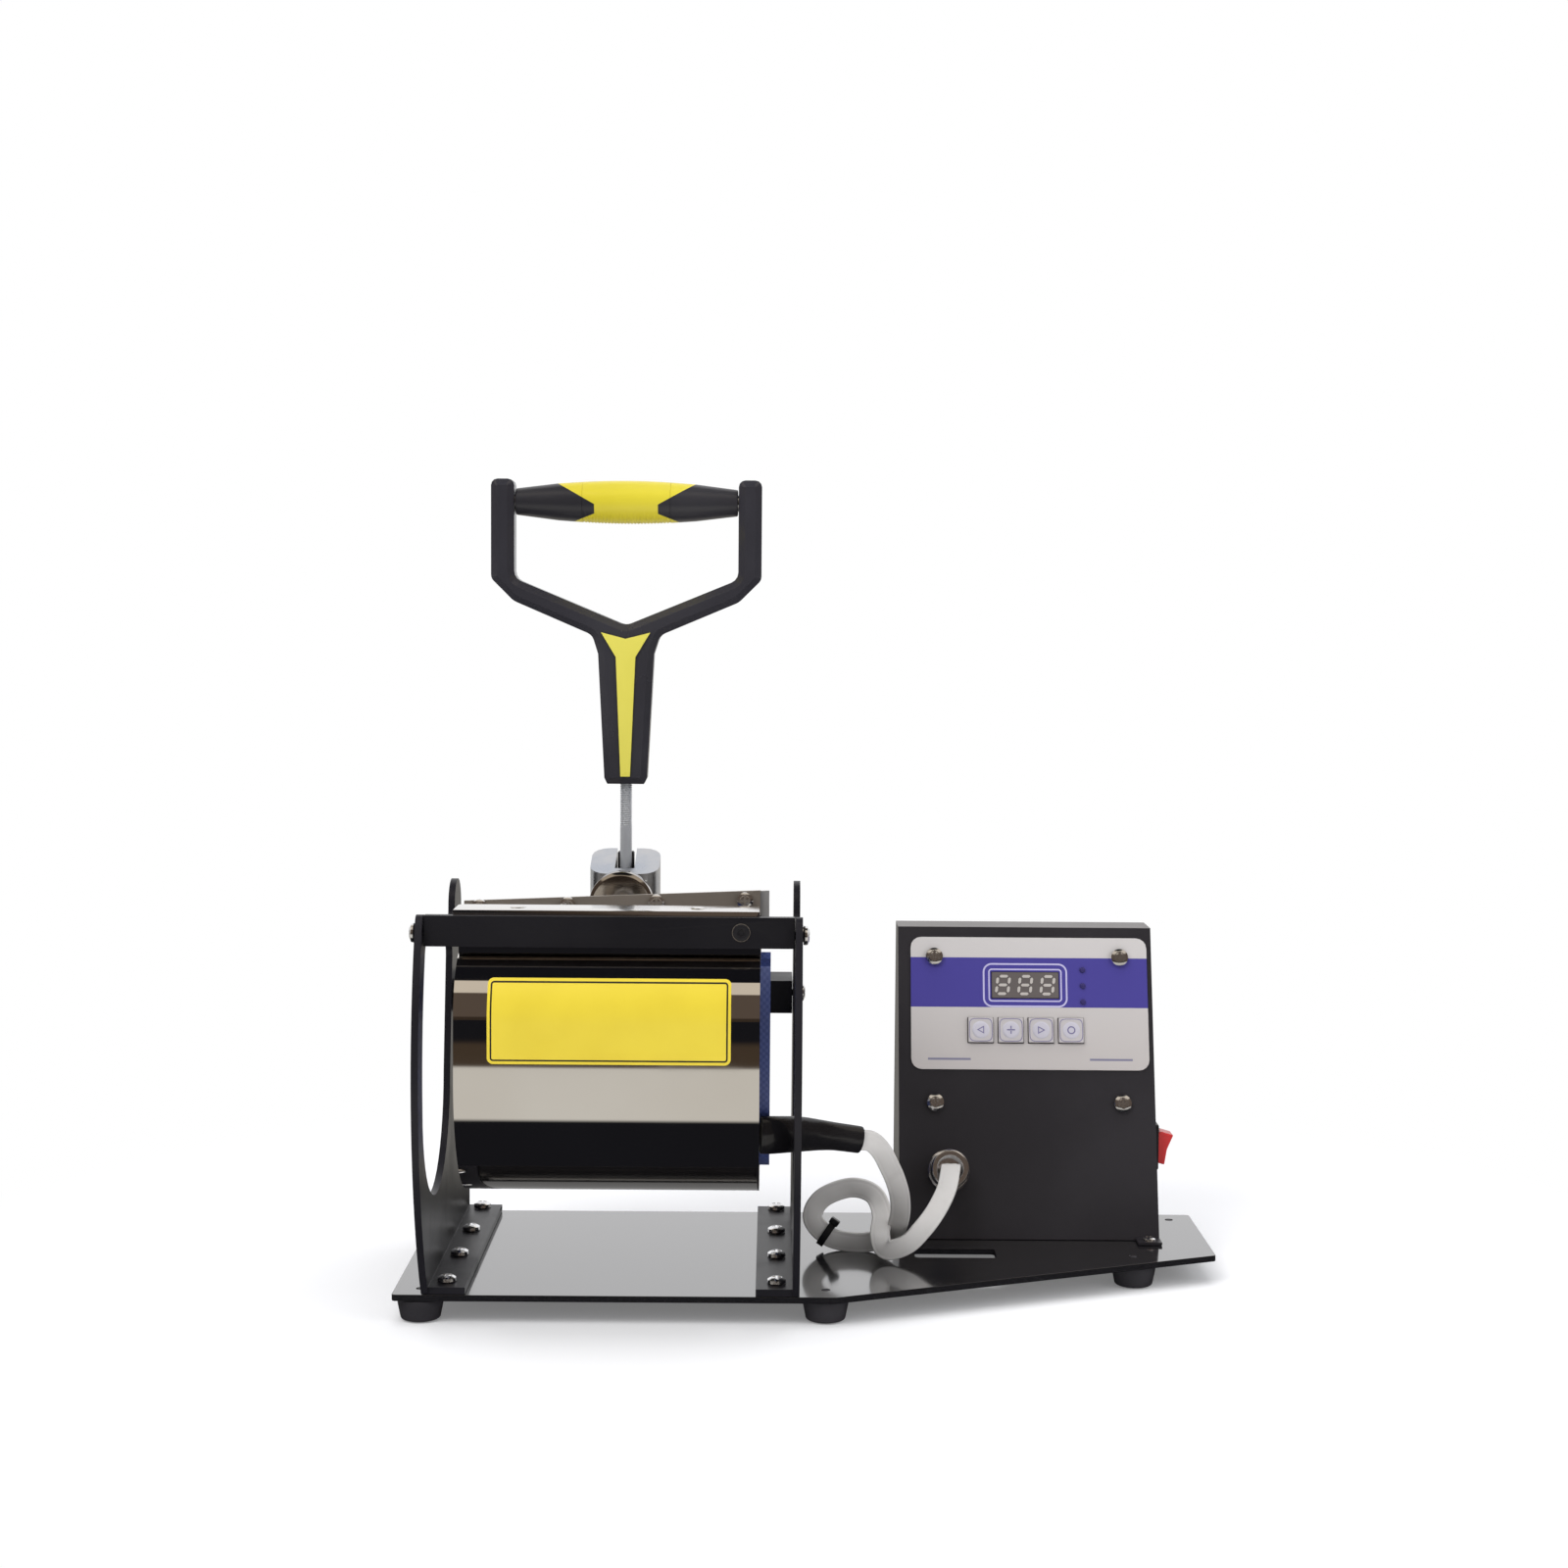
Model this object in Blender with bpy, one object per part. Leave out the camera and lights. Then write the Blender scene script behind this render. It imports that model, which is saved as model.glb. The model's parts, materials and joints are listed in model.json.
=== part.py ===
# Mug heat press with a lever-closed heater wrap and a separate control box on one base plate.
# Metres, +Z up, front towards -Y, origin at the bottom centre of the whole object.
import math

import bmesh
import bpy
from mathutils import Vector
from mathutils.geometry import convex_hull_2d, tessellate_polygon

for old in list(bpy.data.objects):
    bpy.data.objects.remove(old, do_unlink=True)

# Shared values
clearance = 0.0003          # gap between pieces that touch
overrun = 0.001             # how far a cutter reaches past what it cuts
round_steps = 12            # sides of small holes, pins and screw heads
fillet_steps = 4            # segments of a rounded corner
pin_steps = 16
hub_steps = 24
pad_steps = 20
disc_steps = 32
foot_steps = 18
lamp_steps = 8
socket_steps = 24
connector_steps = 28
tab_steps = 12
waist_steps = 20
window_steps = 8
window_rounds = 8           # rounds that find the window's top front corner
handle_steps = 3
fine_screw_steps = 10
route_steps = 24            # readings between two route points

# Base plate, with its right front corner cut off at a slant
plate_depth = 0.150
plate_thickness = 0.0028
plate_corner = 0.002
left_margin = 0.0127        # from the plate's left edge to the left side plate
right_margin = 0.022        # from the control box to the plate's right edge
aisle = 0.0475              # between the press and the control box
front_run = 0.1895          # straight front edge
cut_depth = 0.074           # how far back the slanted edge ends
slot_length = 0.037
slot_depth = 0.016
slot_from_box = 0.0055
slot_setback = 0.067

# Rubber feet
foot_height = 0.0097
foot_radius = 0.010
foot_tip_radius = 0.0085
foot_rim = 0.0015
foot_side_inset = 0.0112
foot_end_inset = 0.0102
foot_cut_gap = 0.0122       # from the slanted edge to the feet near it
foot_front_back = 0.0044    # the middle foot's distance before the slanted edge starts
foot_right_reach = 0.0379   # the right front foot's distance from the right edge
foot_recess = 0.004           # room for the screw head in the foot's underside
foot_recess_radius = 0.0042
foot_screw_head = 0.003
foot_screw_rise = 0.0018
foot_screw_shank = 0.0016

# Side plates: sheet steel with a bowed front edge, a window, a tab and an inward bottom flange
press_inner_width = 0.155
side_thickness = 0.003
side_rear_gap = 0.002
nose_lean = 0.0134          # how far the top front corner stands ahead of the plate's front edge
nose_over_drum = 0.0105
nose_radius = 0.004
front_bow = 0.0215          # rise of the bowed front edge over its chord
bow_steps = 18
ledge_gap = 0.0034          # from the drum's rear to where the sloping top meets the tab
ledge_over_drum = -0.004
ledge_radius = 0.003
tab_width = 0.0239
tab_over_drum = 0.0126
shoulder_over_drum = -0.014
shoulder_radius = 0.006
heel_height = 0.025
heel_radius = 0.008
window_web = 0.0135         # strip left between the bowed edge and the window
window_strip = 0.0115       # strip left under the sloping top
window_waist_over_axis = -0.015
window_waist_inset = 0.014  # ahead of the drum's rear
window_top_inset = 0.0079   # ahead of the tab
window_corner = 0.006
flange_width = 0.0187
flange_thickness = 0.003
flange_screw_inset = 0.0098
flange_screw_first = 0.010
flange_screw_last = 0.006    # from the side plate's rear end
flange_screw_count = 4

# Pan head screws
screw_head = 0.004
screw_rise = 0.0024
screw_shank = 0.002
screw_tip = 0.001           # what sticks out past the last piece
small_shank = 0.0015        # screws that go into the bars

# Bars between the side plates
front_bar_inset = 0.0004      # behind the side plates' top corners
front_bar_depth = 0.005
front_bar_over_drum = -0.003
front_bar_tall = 0.013
front_bar_screw_rise = 0.0054
rear_bar_gap = 0.005          # behind the drum
rear_bar_depth = 0.020
rear_bar_over_drum = -0.016
rear_bar_tall = 0.008
mid_bar_gap = 0.008
mid_bar_depth = 0.029
mid_bar_over_drum = -0.048
mid_bar_tall = 0.015
bar_screw_bite = 0.008

# Heater wrap
drum_setback = 0.032
drum_height = 0.097
drum_radius = 0.057
sheet = 0.0009
bore_radius = 0.043
mat_thickness = 0.003
felt_gap = 0.0001           # extra room for the facets between the felt and its neighbours
wrap_left_gap = 0.014
wrap_length = 0.1264
mat_overhang = 0.0043
flat_top_over_axis = 0.024
brow_radius = 0.028         # bend above the flat front
brow_steps = 10
drum_steps = 18             # segments of each half circle
lip_top_over_drum = 0.01
lip_half_gap = 0.018        # from the drum's axis to the rear face of the front lip
lip_drop_over_drum = -0.0137
front_felt_angle = math.radians(114.5)
front_mat_angle = math.radians(112)
rear_felt_angle = math.radians(84)
rear_mat_angle = math.radians(84)

# Polished strip along the front lip
strip_thickness = 0.0015
strip_leg_over_drum = -0.001
strip_edge = 0.0015         # how far its flat ends before the lip's rear face
strip_left_inset = 0.0119   # from the left side plate
strip_length = 0.128
strip_corner = 0.003
strip_screw_inset = 0.026
strip_screw_setback = 0.003
strip_screw_head = 0.0035
strip_screw_rise = 0.0005
socket_inset = 0.0227       # socket screw from the right side plate
socket_over_drum = 0.0037
socket_head = 0.0035
socket_head_depth = 0.0016
socket_hex = 0.0014

# Polished clamp strip, gasket and screws on the rear lip
clamp_back = 0.0022         # behind the drum's axis
clamp_left_inset = 0.0114
clamp_length = 0.1286
clamp_foot_over_drum = -0.013
clamp_left_top_over_drum = 0.0106
clamp_right_top_over_drum = 0.016
clamp_edge = 0.0004         # how far the lip and the gasket stay below the strip's edge
gasket_thickness = 0.0012
gasket_overhang = 0.0039
gasket_foot_over_drum = 0.0005
clamp_screw_end_inset = 0.0067
clamp_screw_count = 4
clamp_screw_left_over_drum = 0.0078
clamp_screw_right_over_drum = 0.0117
clamp_screw_head = 0.0036
clamp_screw_rise = 0.0022
clamp_screw_shank = 0.0012
clamp_screw_tip = 0.0008

# Plain yellow plate on the front of the shell
label_left_inset = 0.028
label_width = 0.1005
label_foot_over_axis = 0.0072
label_top_over_axis = 0.0419
label_thickness = 0.0005
label_steps = 6

# Bracket that carries the lever
bracket_width = 0.0316
bracket_depth = 0.028
bracket_corner = 0.008
bracket_wall = 0.0026
bracket_pivot_back = 0.0164   # from its front to the pivot
bracket_front_rise = 0.0168   # top of the front edge over the pivot
bracket_rear_rise = 0.0258
bracket_opening = 0.0204
bracket_opening_top = 0.0138
bracket_slot = 0.009
bracket_slot_start = 0.006
bracket_foot_reach = 0.0095
bracket_foot_depth = 0.016
bracket_foot_thickness = 0.0025
bracket_screw_inset = 0.0045
bracket_screw_head = 0.003
bracket_screw_rise = 0.0018
bracket_screw_bite = 0.006
pivot_rise = 0.0079           # pivot over the bracket's underside
pivot_radius = 0.003
pivot_head = 0.0045
pivot_head_thickness = 0.0012

# Lever hub and closing linkage
crank_arm = 0.009
crank_rise = 0.0055            # crank pin over the pivot while the press is closed
crank_radius = 0.0025
crank_head = 0.0036
crank_head_thickness = 0.0011
crank_boss = 0.0055
hub_radius = 0.007
hub_width = 0.011
rod_boss_half = 0.0044
rod_boss_rise = 0.0145
rod_radius = 0.00275
rod_start_rise = 0.0061
link_width = 0.018
link_wall = 0.0025
link_height = 0.0078
link_end = 0.0039
link_web_forward = 0.0197     # from the crank pin to the front of the link's web
link_web = 0.003
pad_gap = 0.0005              # between the pad and the lip with the press closed
pad_radius = 0.005
pad_thickness = 0.0045
pad_socket = 0.0025
thread_radius = 0.003
thread_tail = 0.0098          # from the crank pin to the screw's tail
knob_radius = 0.01435
knob_thickness = 0.005
knob_edge = 0.001
knob_hub_radius = 0.0054
knob_hub_length = 0.0041
knob_to_web = 0.0020

# Lever handle
handle_base_over_drum = 0.0572
handle_depth = 0.016
handle_chamfer = 0.003
neck_tip_half = 0.0084
neck_tip_rise = 0.0028
neck_low_half = 0.0098
neck_high_half = 0.0128
neck_rise = 0.0596
fork_half = 0.0155
fork_rise = 0.0681
elbow_half = 0.0514
elbow_rise = 0.0834
arm_half = 0.06165
arm_foot_rise = 0.0936
arm_width = 0.0106
handle_rise = 0.1388
saddle_rise = 0.0726
inner_elbow_rise = 0.0937
fork_radius = 0.010
elbow_radius = 0.008
arm_top_radius = 0.003
saddle_radius = 0.006
rod_socket = 0.034
inlay_thickness = 0.0006
inlay_foot_rise = 0.0036
inlay_foot_half = 0.0022
inlay_waist_rise = 0.0582
inlay_waist_half = 0.0045
inlay_top_rise = 0.0694
inlay_top_half = 0.01125
inlay_notch_rise = 0.0665

# Grip between the handle's arms
grip_rise = 0.1286
grip_core_radius = 0.004
grip_core_bite = 0.007
grip_end_radius = 0.006
grip_shoulder_radius = 0.0084
grip_shoulder_half = 0.0315
grip_band_half = 0.0197
grip_band_radius = 0.0098
grip_band_edge_radius = 0.0092
grip_groove_radius = 0.0086
grip_steps = 20
grip_flat_share = 1 / 3      # straight middle of the band

# Control box, leaning back
box_width = 0.1208
box_slant = 0.1475
box_lean = math.radians(18)
box_top_depth = 0.0214
box_overhang = 0.016          # past the base plate's rear edge
box_wall = 0.0012
box_edge = 0.0018
cover_screw_inset = 0.009
cover_screw_head = 0.003
cover_screw_rise = 0.0018
cover_lip = 0.007             # inner flange that the rear cover is screwed to
tab_reach = 0.009             # screwed tabs at the box's front corners
tab_length = 0.011
tab_screw_head = 0.003
tab_screw_rise = 0.0018

# Panel sheet: places are measured from the box's left edge and up the slanted face
panel_left = 0.0059
panel_right = 0.0023          # from the box's right edge
panel_low = 0.0790
panel_high = 0.1423
panel_sheet = 0.0005
panel_corner = 0.005
window_left = 0.0441
window_width = 0.0324
window_low = 0.1128
window_tall = 0.013
window_ledge = 0.0012
pane_thickness = 0.0009
lamp_from_left = 0.0877
lamp_radius = 0.0011
lamp_rise = 0.0007
lamp_depth = 0.0035
lamp_low = 0.1114
lamp_pitch = 0.0077
lamp_count = 3
key_size = 0.0118
key_low = 0.0917
key_first_left = 0.0329
key_pitch = 0.01427
key_count = 4
key_lift = 0.0011
key_thickness = 0.0015
key_stem = 0.002
key_travel = 0.0006
panel_screw_head = 0.004
panel_screw_rise = 0.0024
panel_screw_left = 0.0171
panel_screw_right = 0.0154    # from the box's right edge
panel_screw_high = 0.1328
panel_screw_low = 0.0634
board_setback = 0.012
board_thickness = 0.0016
board_margin = 0.008
board_screw_tip = 0.003

# Socket and plug of the heater cable
socket_left = 0.0229
socket_up = 0.0313
socket_ring = 0.010
socket_ring_thickness = 0.0028
socket_body = 0.0076
socket_body_depth = 0.010
socket_pin_room = 0.004
plug_radius = 0.0090
plug_length = 0.0105
plug_bore = 0.0060
plug_floor = 0.002
plug_rim = 0.0008

# Rocker switch on the box's right side
rocker_setback = 0.128
rocker_height = 0.0393
bezel_depth = 0.015
bezel_tall = 0.0214
bezel_rise = 0.002
bezel_wall = 0.0024
switch_margin = 0.0012
switch_body_depth = 0.012
switch_floor = 0.002
rocker_half = 0.0074
rocker_rise = 0.0062
rocker_dish = 0.0009
rocker_root = 0.0035
rocker_pivot_out = 0.0016
rocker_tilt = math.radians(16)

# Mains inlet on the rear
inlet_from_left = 0.040
inlet_height = 0.045
inlet_width = 0.048
inlet_tall = 0.028
inlet_stand = 0.0025
inlet_corner = 0.004
inlet_body_width = 0.0275
inlet_body_tall = 0.020
inlet_body_depth = 0.016
inlet_wall = 0.002
inlet_pin_width = 0.002
inlet_pin_tall = 0.004
inlet_pin_length = 0.011
inlet_pin_spacing = 0.007
inlet_earth_drop = 0.004
inlet_screw_inset = 0.0045
inlet_screw_head = 0.0025
inlet_screw_rise = 0.0014
inlet_screw_shank = 0.0013

# Heater lead: heat-shrink sleeve at the wrap and the flat cable's free run
cable_radius = 0.0032
cable_straight = 0.0052       # straight run in front of the sleeve
sleeve_root_wide = 0.0042
sleeve_root_tall = 0.0082
sleeve_end_wide = 0.0045
sleeve_end_tall = 0.0060
sleeve_steps = 16
tie_radius = 0.0044
tie_width = 0.0032

# Places worked out from the sizes
deck = foot_height + clearance + plate_thickness
press_width = press_inner_width + 2 * side_thickness
plate_width = left_margin + press_width + aisle + box_width + right_margin
plate_left = -plate_width / 2
plate_right = plate_width / 2
side_left = plate_left + left_margin
inner_left = side_left + side_thickness
inner_right = inner_left + press_inner_width
side_right = inner_right + side_thickness
press_x = (side_left + side_right) / 2
box_left = side_right + aisle
box_right = box_left + box_width

# Heights over the plate and setbacks from its front edge that follow the drum
drum_top = drum_height + drum_radius
drum_rear = drum_setback + drum_radius
nose_height = drum_top + nose_over_drum
ledge_height = drum_top + ledge_over_drum
tab_height = drum_top + tab_over_drum
shoulder_height = drum_top + shoulder_over_drum
front_bar_height = drum_top + front_bar_over_drum
rear_bar_height = drum_top + rear_bar_over_drum
mid_bar_height = drum_top + mid_bar_over_drum
lip_top_height = drum_top + lip_top_over_drum
lip_drop_height = drum_top + lip_drop_over_drum
strip_leg_height = drum_top + strip_leg_over_drum
socket_height = drum_top + socket_over_drum
clamp_foot_height = drum_top + clamp_foot_over_drum
clamp_left_top = drum_top + clamp_left_top_over_drum
clamp_right_top = drum_top + clamp_right_top_over_drum
gasket_foot_height = drum_top + gasket_foot_over_drum
clamp_screw_left_height = drum_top + clamp_screw_left_over_drum
clamp_screw_right_height = drum_top + clamp_screw_right_over_drum
handle_base_height = drum_top + handle_base_over_drum
flat_top_height = drum_height + flat_top_over_axis
label_foot_height = drum_height + label_foot_over_axis
label_top_height = drum_height + label_top_over_axis
window_waist_height = drum_height + window_waist_over_axis
rear_bar_setback = drum_rear + rear_bar_gap
mid_bar_setback = drum_rear + mid_bar_gap
ledge_setback = drum_rear + ledge_gap
window_waist_setback = drum_rear - window_waist_inset
window_top_setback = ledge_setback - window_top_inset
front_bar_setback = front_bar_inset - nose_lean
strip_leg_setback = front_bar_setback + front_bar_depth + clearance
lip_reach = drum_setback - lip_half_gap
strip_reach = lip_reach - strip_edge
clamp_setback = drum_setback + clamp_back
panel_width = box_width - panel_left - panel_right

# The bowed front edge is a circular arc from the front foot to the nose
bow_chord = math.hypot(nose_lean, nose_height)
bow_radius = (bow_chord ** 2 / 4 + front_bow ** 2) / (2 * front_bow)
bow_inward = bow_radius - front_bow
bow_centre_back = -nose_lean / 2 + bow_inward * nose_height / bow_chord
bow_centre_up = nose_height / 2 + bow_inward * nose_lean / bow_chord
front_reach = bow_radius - bow_centre_back

inlet_reach = inlet_stand + inlet_screw_rise
overall_depth = front_reach + plate_depth + box_overhang + inlet_reach
plate_front = front_reach - overall_depth / 2
plate_rear = plate_front + plate_depth
side_depth = plate_depth - side_rear_gap
box_rear = plate_rear + box_overhang
box_base = deck + clearance
box_foot_front = box_rear - box_top_depth - box_slant * math.sin(box_lean)
box_top = box_base + box_slant * math.cos(box_lean)

drum_y = plate_front + drum_setback
drum_z = deck + drum_height
wrap_left = inner_left + wrap_left_gap
wrap_right = wrap_left + wrap_length
mat_right = wrap_right + mat_overhang
felt_outer = drum_radius - sheet - clearance - felt_gap
mat_outer = bore_radius + mat_thickness
felt_inner = mat_outer + clearance + felt_gap

rear_bar_top = deck + rear_bar_height + rear_bar_tall
bracket_base = rear_bar_top + clearance
pivot_y = plate_front + rear_bar_setback + rear_bar_depth / 2 + clearance
pivot_z = bracket_base + pivot_rise
crank_y = pivot_y - math.sqrt(crank_arm ** 2 - crank_rise ** 2)
crank_z = pivot_z + crank_rise

clamp_front = plate_front + clamp_setback
gasket_front = clamp_front + strip_thickness + clearance
rear_lip_front = gasket_front + gasket_thickness + clearance
rear_lip_back = rear_lip_front + sheet
pad_front = rear_lip_back + pad_gap
link_web_front = crank_y - link_web_forward
knob_rear = link_web_front - knob_to_web

handle_base = deck + handle_base_height
grip_z = handle_base + grip_rise


# Outlines in a plane, as lists of (across, up) pairs
def arc(centre, radius, start, stop, steps):
    turns = [start + (stop - start) * step / steps for step in range(steps + 1)]
    return [(centre[0] + radius * math.cos(turn), centre[1] + radius * math.sin(turn)) for turn in turns]


def circle(centre, radius, steps=round_steps):
    return arc(centre, radius, 0, 2 * math.pi, steps)[:-1]


def rectangle(low, high):
    return [(low[0], low[1]), (high[0], low[1]), (high[0], high[1]), (low[0], high[1])]


def rounded(corners, steps=fillet_steps):
    # Each corner is (across, up, radius); a radius of zero keeps it sharp
    outline = []
    for index, (across, up, radius) in enumerate(corners):
        here = Vector((across, up))
        if radius == 0:
            outline.append((across, up))
            continue
        before = (Vector(corners[index - 1][:2]) - here).normalized()
        after = (Vector(corners[(index + 1) % len(corners)][:2]) - here).normalized()
        half = before.angle(after) / 2
        reach = radius / math.tan(half)
        centre = here + (before + after).normalized() * radius / math.sin(half)
        first = here + before * reach - centre
        last = here + after * reach - centre
        start = math.atan2(first.y, first.x)
        sweep = math.atan2(last.y, last.x) - start
        sweep = (sweep + math.pi) % (2 * math.pi) - math.pi
        outline += arc(centre, radius, start, start + sweep, steps)
    return outline


def rounded_rectangle(low, high, radius, steps=fillet_steps):
    return rounded([(across, up, radius) for across, up in rectangle(low, high)], steps)


def left_normals(points, closed):
    # Unit mitre direction to the left of the travel at each point
    count = len(points)
    normals = []
    for index in range(count):
        edges = []
        if closed or index > 0:
            edges.append(Vector(points[index]) - Vector(points[index - 1]))
        if closed or index < count - 1:
            edges.append(Vector(points[(index + 1) % count]) - Vector(points[index]))
        sides = [Vector((-edge.y, edge.x)).normalized() for edge in edges]
        first = sides[0]
        last = sides[-1]
        normals.append((first + last) / (1 + first.dot(last)))
    return normals


def shifted(points, distance, closed=False):
    # The line moved to its left by the distance
    pairs = zip(points, left_normals(points, closed))
    return [(point[0] + normal.x * distance, point[1] + normal.y * distance) for point, normal in pairs]


def inset(outline, distance):
    area = sum(a[0] * b[1] - b[0] * a[1] for a, b in zip(outline, outline[1:] + outline[:1]))
    return shifted(outline, distance if area > 0 else -distance, closed=True)


def sheet_outline(path, thickness):
    # A bent sheet whose outer face is the path and whose inner face lies to the path's left
    return path + shifted(path, thickness)[::-1]


# Solids, as (vertices, faces) pairs
def place(axis, along, point):
    if axis == "X":
        return (along, point[0], point[1])
    if axis == "Y":
        return (point[0], along, point[1])
    return (point[0], point[1], along)


def prism(outline, axis, start, stop, holes=()):
    loops = [list(outline)] + [list(hole) for hole in holes]
    flat = [point for loop in loops for point in loop]
    triangles = tessellate_polygon([[Vector((a, b, 0)) for a, b in loop] for loop in loops])
    count = len(flat)
    vertices = [place(axis, start, point) for point in flat] + [place(axis, stop, point) for point in flat]
    faces = [tuple(triangle) for triangle in triangles]
    faces += [tuple(corner + count for corner in reversed(triangle)) for triangle in triangles]
    first = 0
    for loop in loops:
        size = len(loop)
        for step in range(size):
            a = first + step
            b = first + (step + 1) % size
            faces.append((a, b, b + count, a + count))
        first += size
    return vertices, faces


def block(low, high):
    return prism(rectangle(low[:2], high[:2]), "Z", low[2], high[2])


def chamfered_prism(outline, axis, start, stop, chamfer):
    # A prism whose two end faces are set in by the chamfer
    small = inset(outline, chamfer)
    rings = [(small, start), (outline, start + chamfer), (outline, stop - chamfer), (small, stop)]
    count = len(outline)
    vertices = [place(axis, along, point) for ring, along in rings for point in ring]
    triangles = tessellate_polygon([[Vector((a, b, 0)) for a, b in small]])
    faces = [tuple(triangle) for triangle in triangles]
    top = count * (len(rings) - 1)
    faces += [tuple(corner + top for corner in reversed(triangle)) for triangle in triangles]
    for ring in range(len(rings) - 1):
        for step in range(count):
            a = ring * count + step
            b = ring * count + (step + 1) % count
            faces.append((a, b, b + count, a + count))
    return vertices, faces


def turned(profile, axis, centre, steps=round_steps, ring=False):
    # The profile is a list of (radius, along) pairs; a ring's profile closes on itself
    vertices = []
    rows = []
    for radius, along in profile:
        first = len(vertices)
        if radius == 0:
            vertices.append(place(axis, along, centre))
            rows.append([first] * steps)
            continue
        vertices += [place(axis, along, point) for point in circle(centre, radius, steps)]
        rows.append(list(range(first, first + steps)))
    faces = []
    pairs = list(zip(rows, rows[1:]))
    if ring:
        pairs.append((rows[-1], rows[0]))
    for lower, upper in pairs:
        for step in range(steps):
            after = (step + 1) % steps
            corners = [lower[step], lower[after], upper[after], upper[step]]
            corners = [corner for index, corner in enumerate(corners) if corner not in corners[:index]]
            if len(corners) > 2:
                faces.append(tuple(corners))
    return vertices, faces


def rod(axis, centre, radius, start, stop, steps=round_steps):
    return turned([(0, start), (radius, start), (radius, stop), (0, stop)], axis, centre, steps)


dome_share = 0.55      # part of a pan head's height that is straight
dome_top_share = 0.62  # radius of its flat top over its full radius
sink = -clearance      # lift of a screw that is one solid with the piece under its head


def pan_screw(axis, centre, seat, side, head, rise, shank, reach, lift=clearance, steps=round_steps):
    # Head on the given side of the seat (+1 or -1 along the axis), shank the other way
    under = seat + side * lift
    profile = [
        (0, seat - side * reach),
        (shank, seat - side * reach),
        (shank, under),
        (head, under),
        (head, under + side * rise * dome_share),
        (head * dome_top_share, under + side * rise),
        (0, under + side * rise),
    ]
    return turned(profile, axis, centre, steps)


def loft(rings):
    # Closed solid through rings of equal size
    count = len(rings[0])
    vertices = [point for ring in rings for point in ring]
    faces = [tuple(range(count))]
    last = count * (len(rings) - 1)
    faces.append(tuple(reversed(range(last, last + count))))
    for ring in range(len(rings) - 1):
        for step in range(count):
            a = ring * count + step
            b = ring * count + (step + 1) % count
            faces.append((a, b, b + count, a + count))
    return vertices, faces


# Objects
smooth_angle = math.radians(38)
home = (0, 0, 0)


def mesh_of(name, solids, origin):
    mesh = bpy.data.meshes.new(name)
    vertices = []
    faces = []
    for solid_vertices, solid_faces in solids:
        shift = len(vertices)
        for vertex in solid_vertices:
            vertices.append(tuple(value - zero for value, zero in zip(vertex, origin)))
        faces += [tuple(corner + shift for corner in face) for face in solid_faces]
    mesh.from_pydata(vertices, [], faces)
    work = bmesh.new()
    work.from_mesh(mesh)
    bmesh.ops.recalc_face_normals(work, faces=work.faces)
    work.to_mesh(mesh)
    work.free()
    mesh.shade_smooth()
    mesh.set_sharp_from_angle(angle=smooth_angle)
    return mesh


def finish(name, colour, roughness, metallic):
    material = bpy.data.materials.new(name)
    material.use_nodes = True
    shader = material.node_tree.nodes["Principled BSDF"]
    shader.inputs["Base Color"].default_value = (*colour, 1)
    shader.inputs["Roughness"].default_value = roughness
    shader.inputs["Metallic"].default_value = metallic
    return material


def make(name, solids, look, origin=home, turn=home, parent=None):
    # The solids are given in the parent-free frame that the origin and the turn place
    colour, roughness, metallic = look
    shape = bpy.data.objects.new(name, mesh_of(name, solids, home if turn != home else origin))
    shape.data.materials.append(finish(name, colour, roughness, metallic))
    bpy.context.scene.collection.objects.link(shape)
    shape.rotation_euler = turn
    shape.location = origin
    if parent:
        shape.parent = parent
        shape.location = Vector(origin) - parent_place(parent)
    return shape


def parent_place(parent):
    spot = Vector(parent.location)
    while parent.parent:
        parent = parent.parent
        spot += Vector(parent.location)
    return spot


def joint(name, spot, parent=None):
    # An empty on a joint's axis, which carries the pieces that move with it
    holder = bpy.data.objects.new(name, None)
    bpy.context.scene.collection.objects.link(holder)
    holder.location = spot
    if parent:
        holder.parent = parent
        holder.location = Vector(spot) - parent_place(parent)
    return holder


def combine(target, operation, solids, frame=None):
    # A hidden helper object that is added to the target or cut from it. The solids are in the
    # target's own frame where it is turned, in the (spot, turn) frame where one is given, and
    # else in the world's.
    place_of_target = parent_place(target)
    turned_target = tuple(target.rotation_euler) != home
    origin = home if frame or turned_target else tuple(place_of_target)
    name = target.name + "_" + operation.lower()
    helper = bpy.data.objects.new(name, mesh_of(name, solids, origin))
    bpy.context.scene.collection.objects.link(helper)
    helper.parent = target
    if frame:
        helper.location = Vector(frame[0]) - place_of_target
        helper.rotation_euler = frame[1]
    helper.hide_render = True
    helper.display_type = "WIRE"
    step = target.modifiers.new(operation.title(), "BOOLEAN")
    step.operation = operation
    step.solver = "EXACT"
    step.object = helper


# Looks: colour, roughness, metallic
black_paint = ((0.012, 0.012, 0.014), 0.38, 0.0)
deck_paint = ((0.018, 0.018, 0.02), 0.22, 0.0)
bright_screw = ((0.72, 0.72, 0.70), 0.25, 1.0)
polished = ((0.75, 0.74, 0.72), 0.08, 1.0)
zinc = ((0.55, 0.62, 0.68), 0.35, 1.0)
steel = ((0.5, 0.52, 0.54), 0.3, 1.0)
rubber_black = ((0.015, 0.015, 0.015), 0.85, 0.0)
felt_white = ((0.75, 0.74, 0.7), 0.95, 0.0)
mat_blue = ((0.02, 0.04, 0.35), 0.45, 0.0)
gasket_grey = ((0.35, 0.35, 0.36), 0.7, 0.0)
bright_yellow = ((0.9, 0.72, 0.02), 0.4, 0.0)
handle_black = ((0.01, 0.01, 0.01), 0.5, 0.0)
cable_grey = ((0.6, 0.61, 0.57), 0.55, 0.0)
panel_grey = ((0.5, 0.49, 0.51), 0.4, 0.0)
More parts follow.
